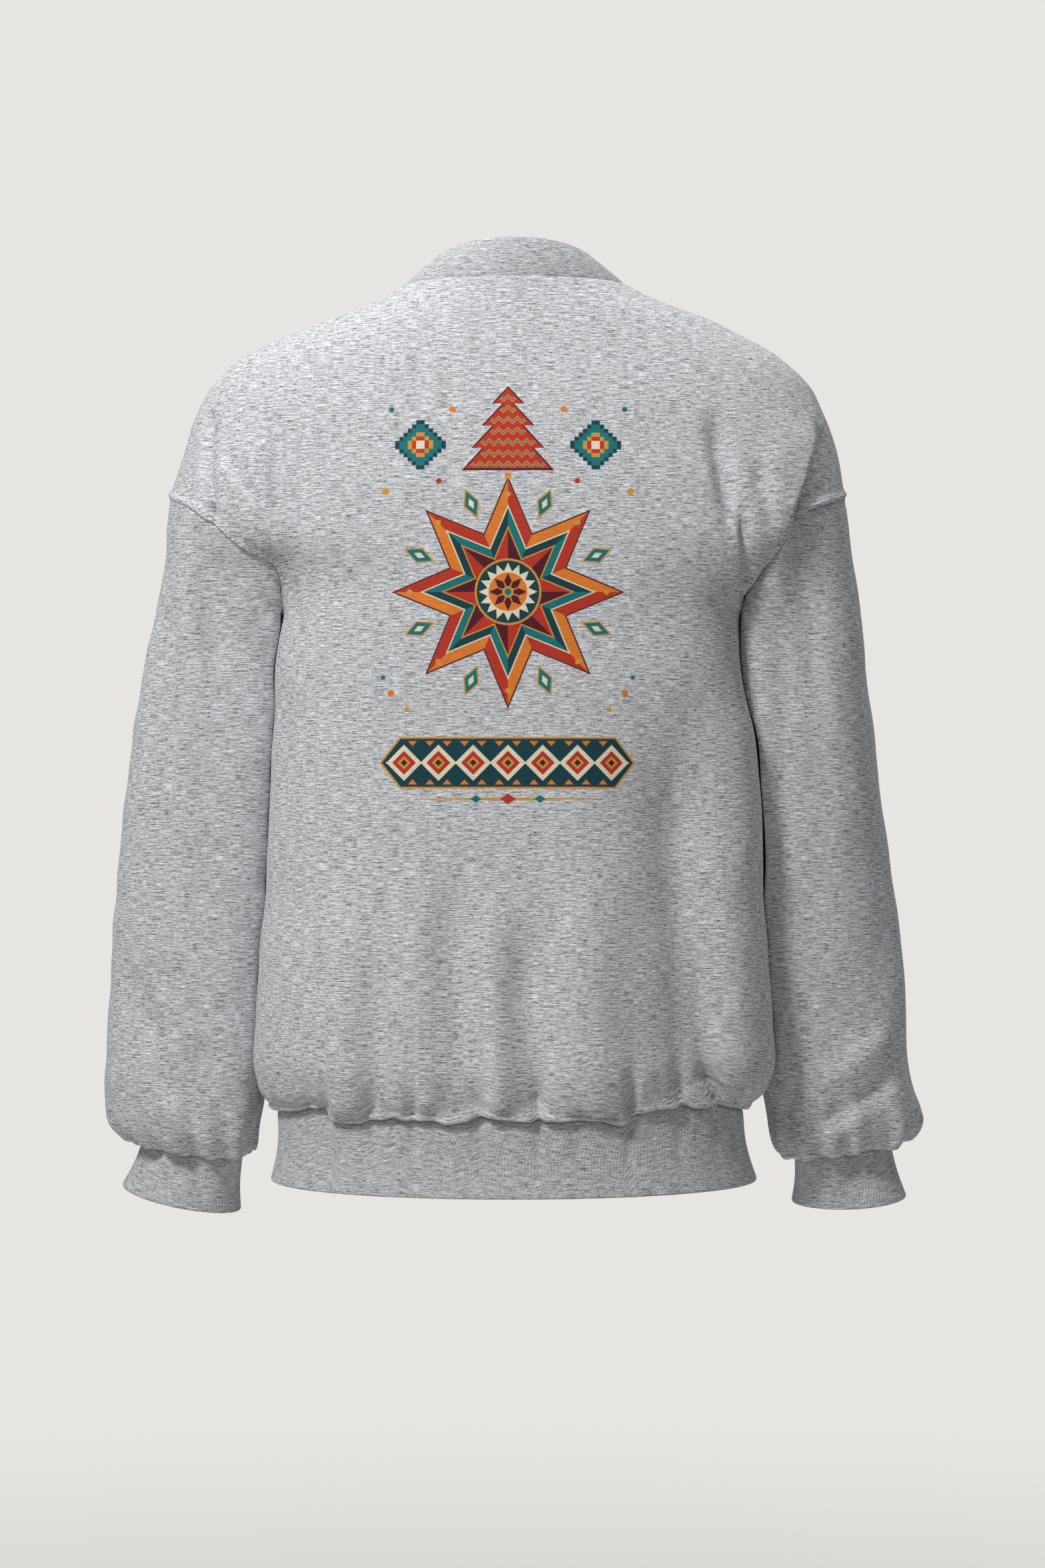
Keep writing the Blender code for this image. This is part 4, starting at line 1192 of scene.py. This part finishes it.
back, back_places = panel(1, BACK_COLUMNS, BACK_FOLDS, BACK_CREASES, BACK_GATHERS, BACK_WAVE)
front, front_places = panel(-1, FRONT_COLUMNS, FRONT_FOLDS, (), FRONT_GATHERS, FRONT_WAVE)
pieces = {}
piece("back", back, back_places, (printed_fleece, brushed), wall=FLEECE_WALL)
piece("front", front, front_places, (fleece, brushed), wall=FLEECE_WALL)
for side, column in EDGE_COLUMN.items():
    ring = joined(back[AT_ARMHOLE, column], front[AT_ARMHOLE, column])
    arm = sleeve(side, ring, body_walls(side, back, front))
    piece(f"{side}_arm", arm, upright_map(arm), (fleece, brushed), tube=True, wall=FLEECE_WALL)
    band(f"{side}_wrist_band", arm[-1], cuff_opening(side, len(ring)), -CUFF_WAIST)
band("hem_band", joined(back[0], front[0]), hem_opening(), -HEM_OPENING["waist"])
band("neck_band", joined(back[-1], front[-1]), neck_opening(), NECK_SWELL, tucked=NECK_TUCK)

NODES = {
    "back": "back_panel",
    "front": "front_panel",
    "left_arm": "left_sleeve",
    "right_arm": "right_sleeve",
    "left_wrist_band": "left_cuff",
    "right_wrist_band": "right_cuff",
    "hem_band": "hem_rib",
    "neck_band": "neck_rib",
}
for name, node in NODES.items():
    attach(pieces[name], "root")
    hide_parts(node)

# The sleeve and wrist band of each side.
for side in ("left", "right"):
    arm, wrist_band = pieces[f"{side}_arm"], pieces[f"{side}_wrist_band"]

# The stage: a pale floor that fades out, a pale surround, soft lights and the camera.
BACKDROP = (0.80, 0.785, 0.755)
FLOOR_HEIGHT = -1.6
FLOOR_REACH = 12.0
CAMERA_AWAY = 2.5
SENSOR = 36
SEEN_HEIGHT = 1.176


def floor_material():
    """Pale matt floor that fades to clear between 0.4 and 4.4 m from its middle."""
    finish = {"Base Color": (0.86, 0.85, 0.82), "Roughness": 0.9, "Specular IOR Level": 0.1}
    material, sheet, shader = new_material("pale floor", finish)
    place = sheet.node("ShaderNodeTexCoord").outputs["Object"]
    reach = sheet.node("ShaderNodeVectorMath", {0: place}, operation="LENGTH").outputs["Value"]
    fade = {"Value": reach, "From Min": 0.4, "From Max": 4.4, "To Min": 1, "To Max": 0}
    clear = sheet.node("ShaderNodeMapRange", fade, interpolation_type="SMOOTHSTEP").outputs[0]
    sheet.feed(shader, {"Alpha": clear})
    return material


floor_mesh = bpy.data.meshes.new("floor")
corners = ((-1, -1), (1, -1), (1, 1), (-1, 1))
corners = [(x * FLOOR_REACH, y * FLOOR_REACH, FLOOR_HEIGHT) for x, y in corners]
floor_mesh.from_pydata(corners, [], [(0, 1, 2, 3)])
floor_mesh.materials.append(floor_material())
put("floor", floor_mesh)

world = bpy.data.worlds.new("studio")
bpy.context.scene.world = world
world.use_nodes = True
sky = Sheet(world.node_tree)
glow = world.node_tree.nodes["Background"]
sky.feed(glow, {"Color": (0.97, 0.985, 1.0), "Strength": 0.2})
seen = sky.node("ShaderNodeBackground", {"Color": BACKDROP}).outputs[0]
camera_ray = sky.node("ShaderNodeLightPath").outputs["Is Camera Ray"]
choice = sky.node("ShaderNodeMixShader", {0: camera_ray, 1: glow.outputs[0], 2: seen})
sky.feed(world.node_tree.nodes["World Output"], {"Surface": choice.outputs[0]})


def lamp(name, place, size, power, aim=(0, 0, -0.35)):
    """A soft square lamp that points at aim."""
    light = bpy.data.lights.new(name, "AREA")
    light.size, light.energy = size, power
    made = put(name, light)
    made.location = place
    towards = Vector(aim) - Vector(place)
    made.rotation_euler = towards.to_track_quat("-Z", "Y").to_euler()


lamp("key", (1.2, 1.85, 1.25), 0.5, 46)
lamp("overhead", (0, -0.5, 2.6), 3.0, 60, aim=(0, -0.8, -1.6))

camera_data = bpy.data.cameras.new("camera")
camera_data.sensor_width = SENSOR
camera_data.lens = SENSOR * CAMERA_AWAY / SEEN_HEIGHT
camera = put("camera", camera_data)
camera.location = (-0.008, CAMERA_AWAY, -0.3805)
camera.rotation_euler = (math.pi / 2, 0, math.pi)
bpy.context.scene.camera = camera
bpy.context.scene.view_settings.view_transform = "Standard"
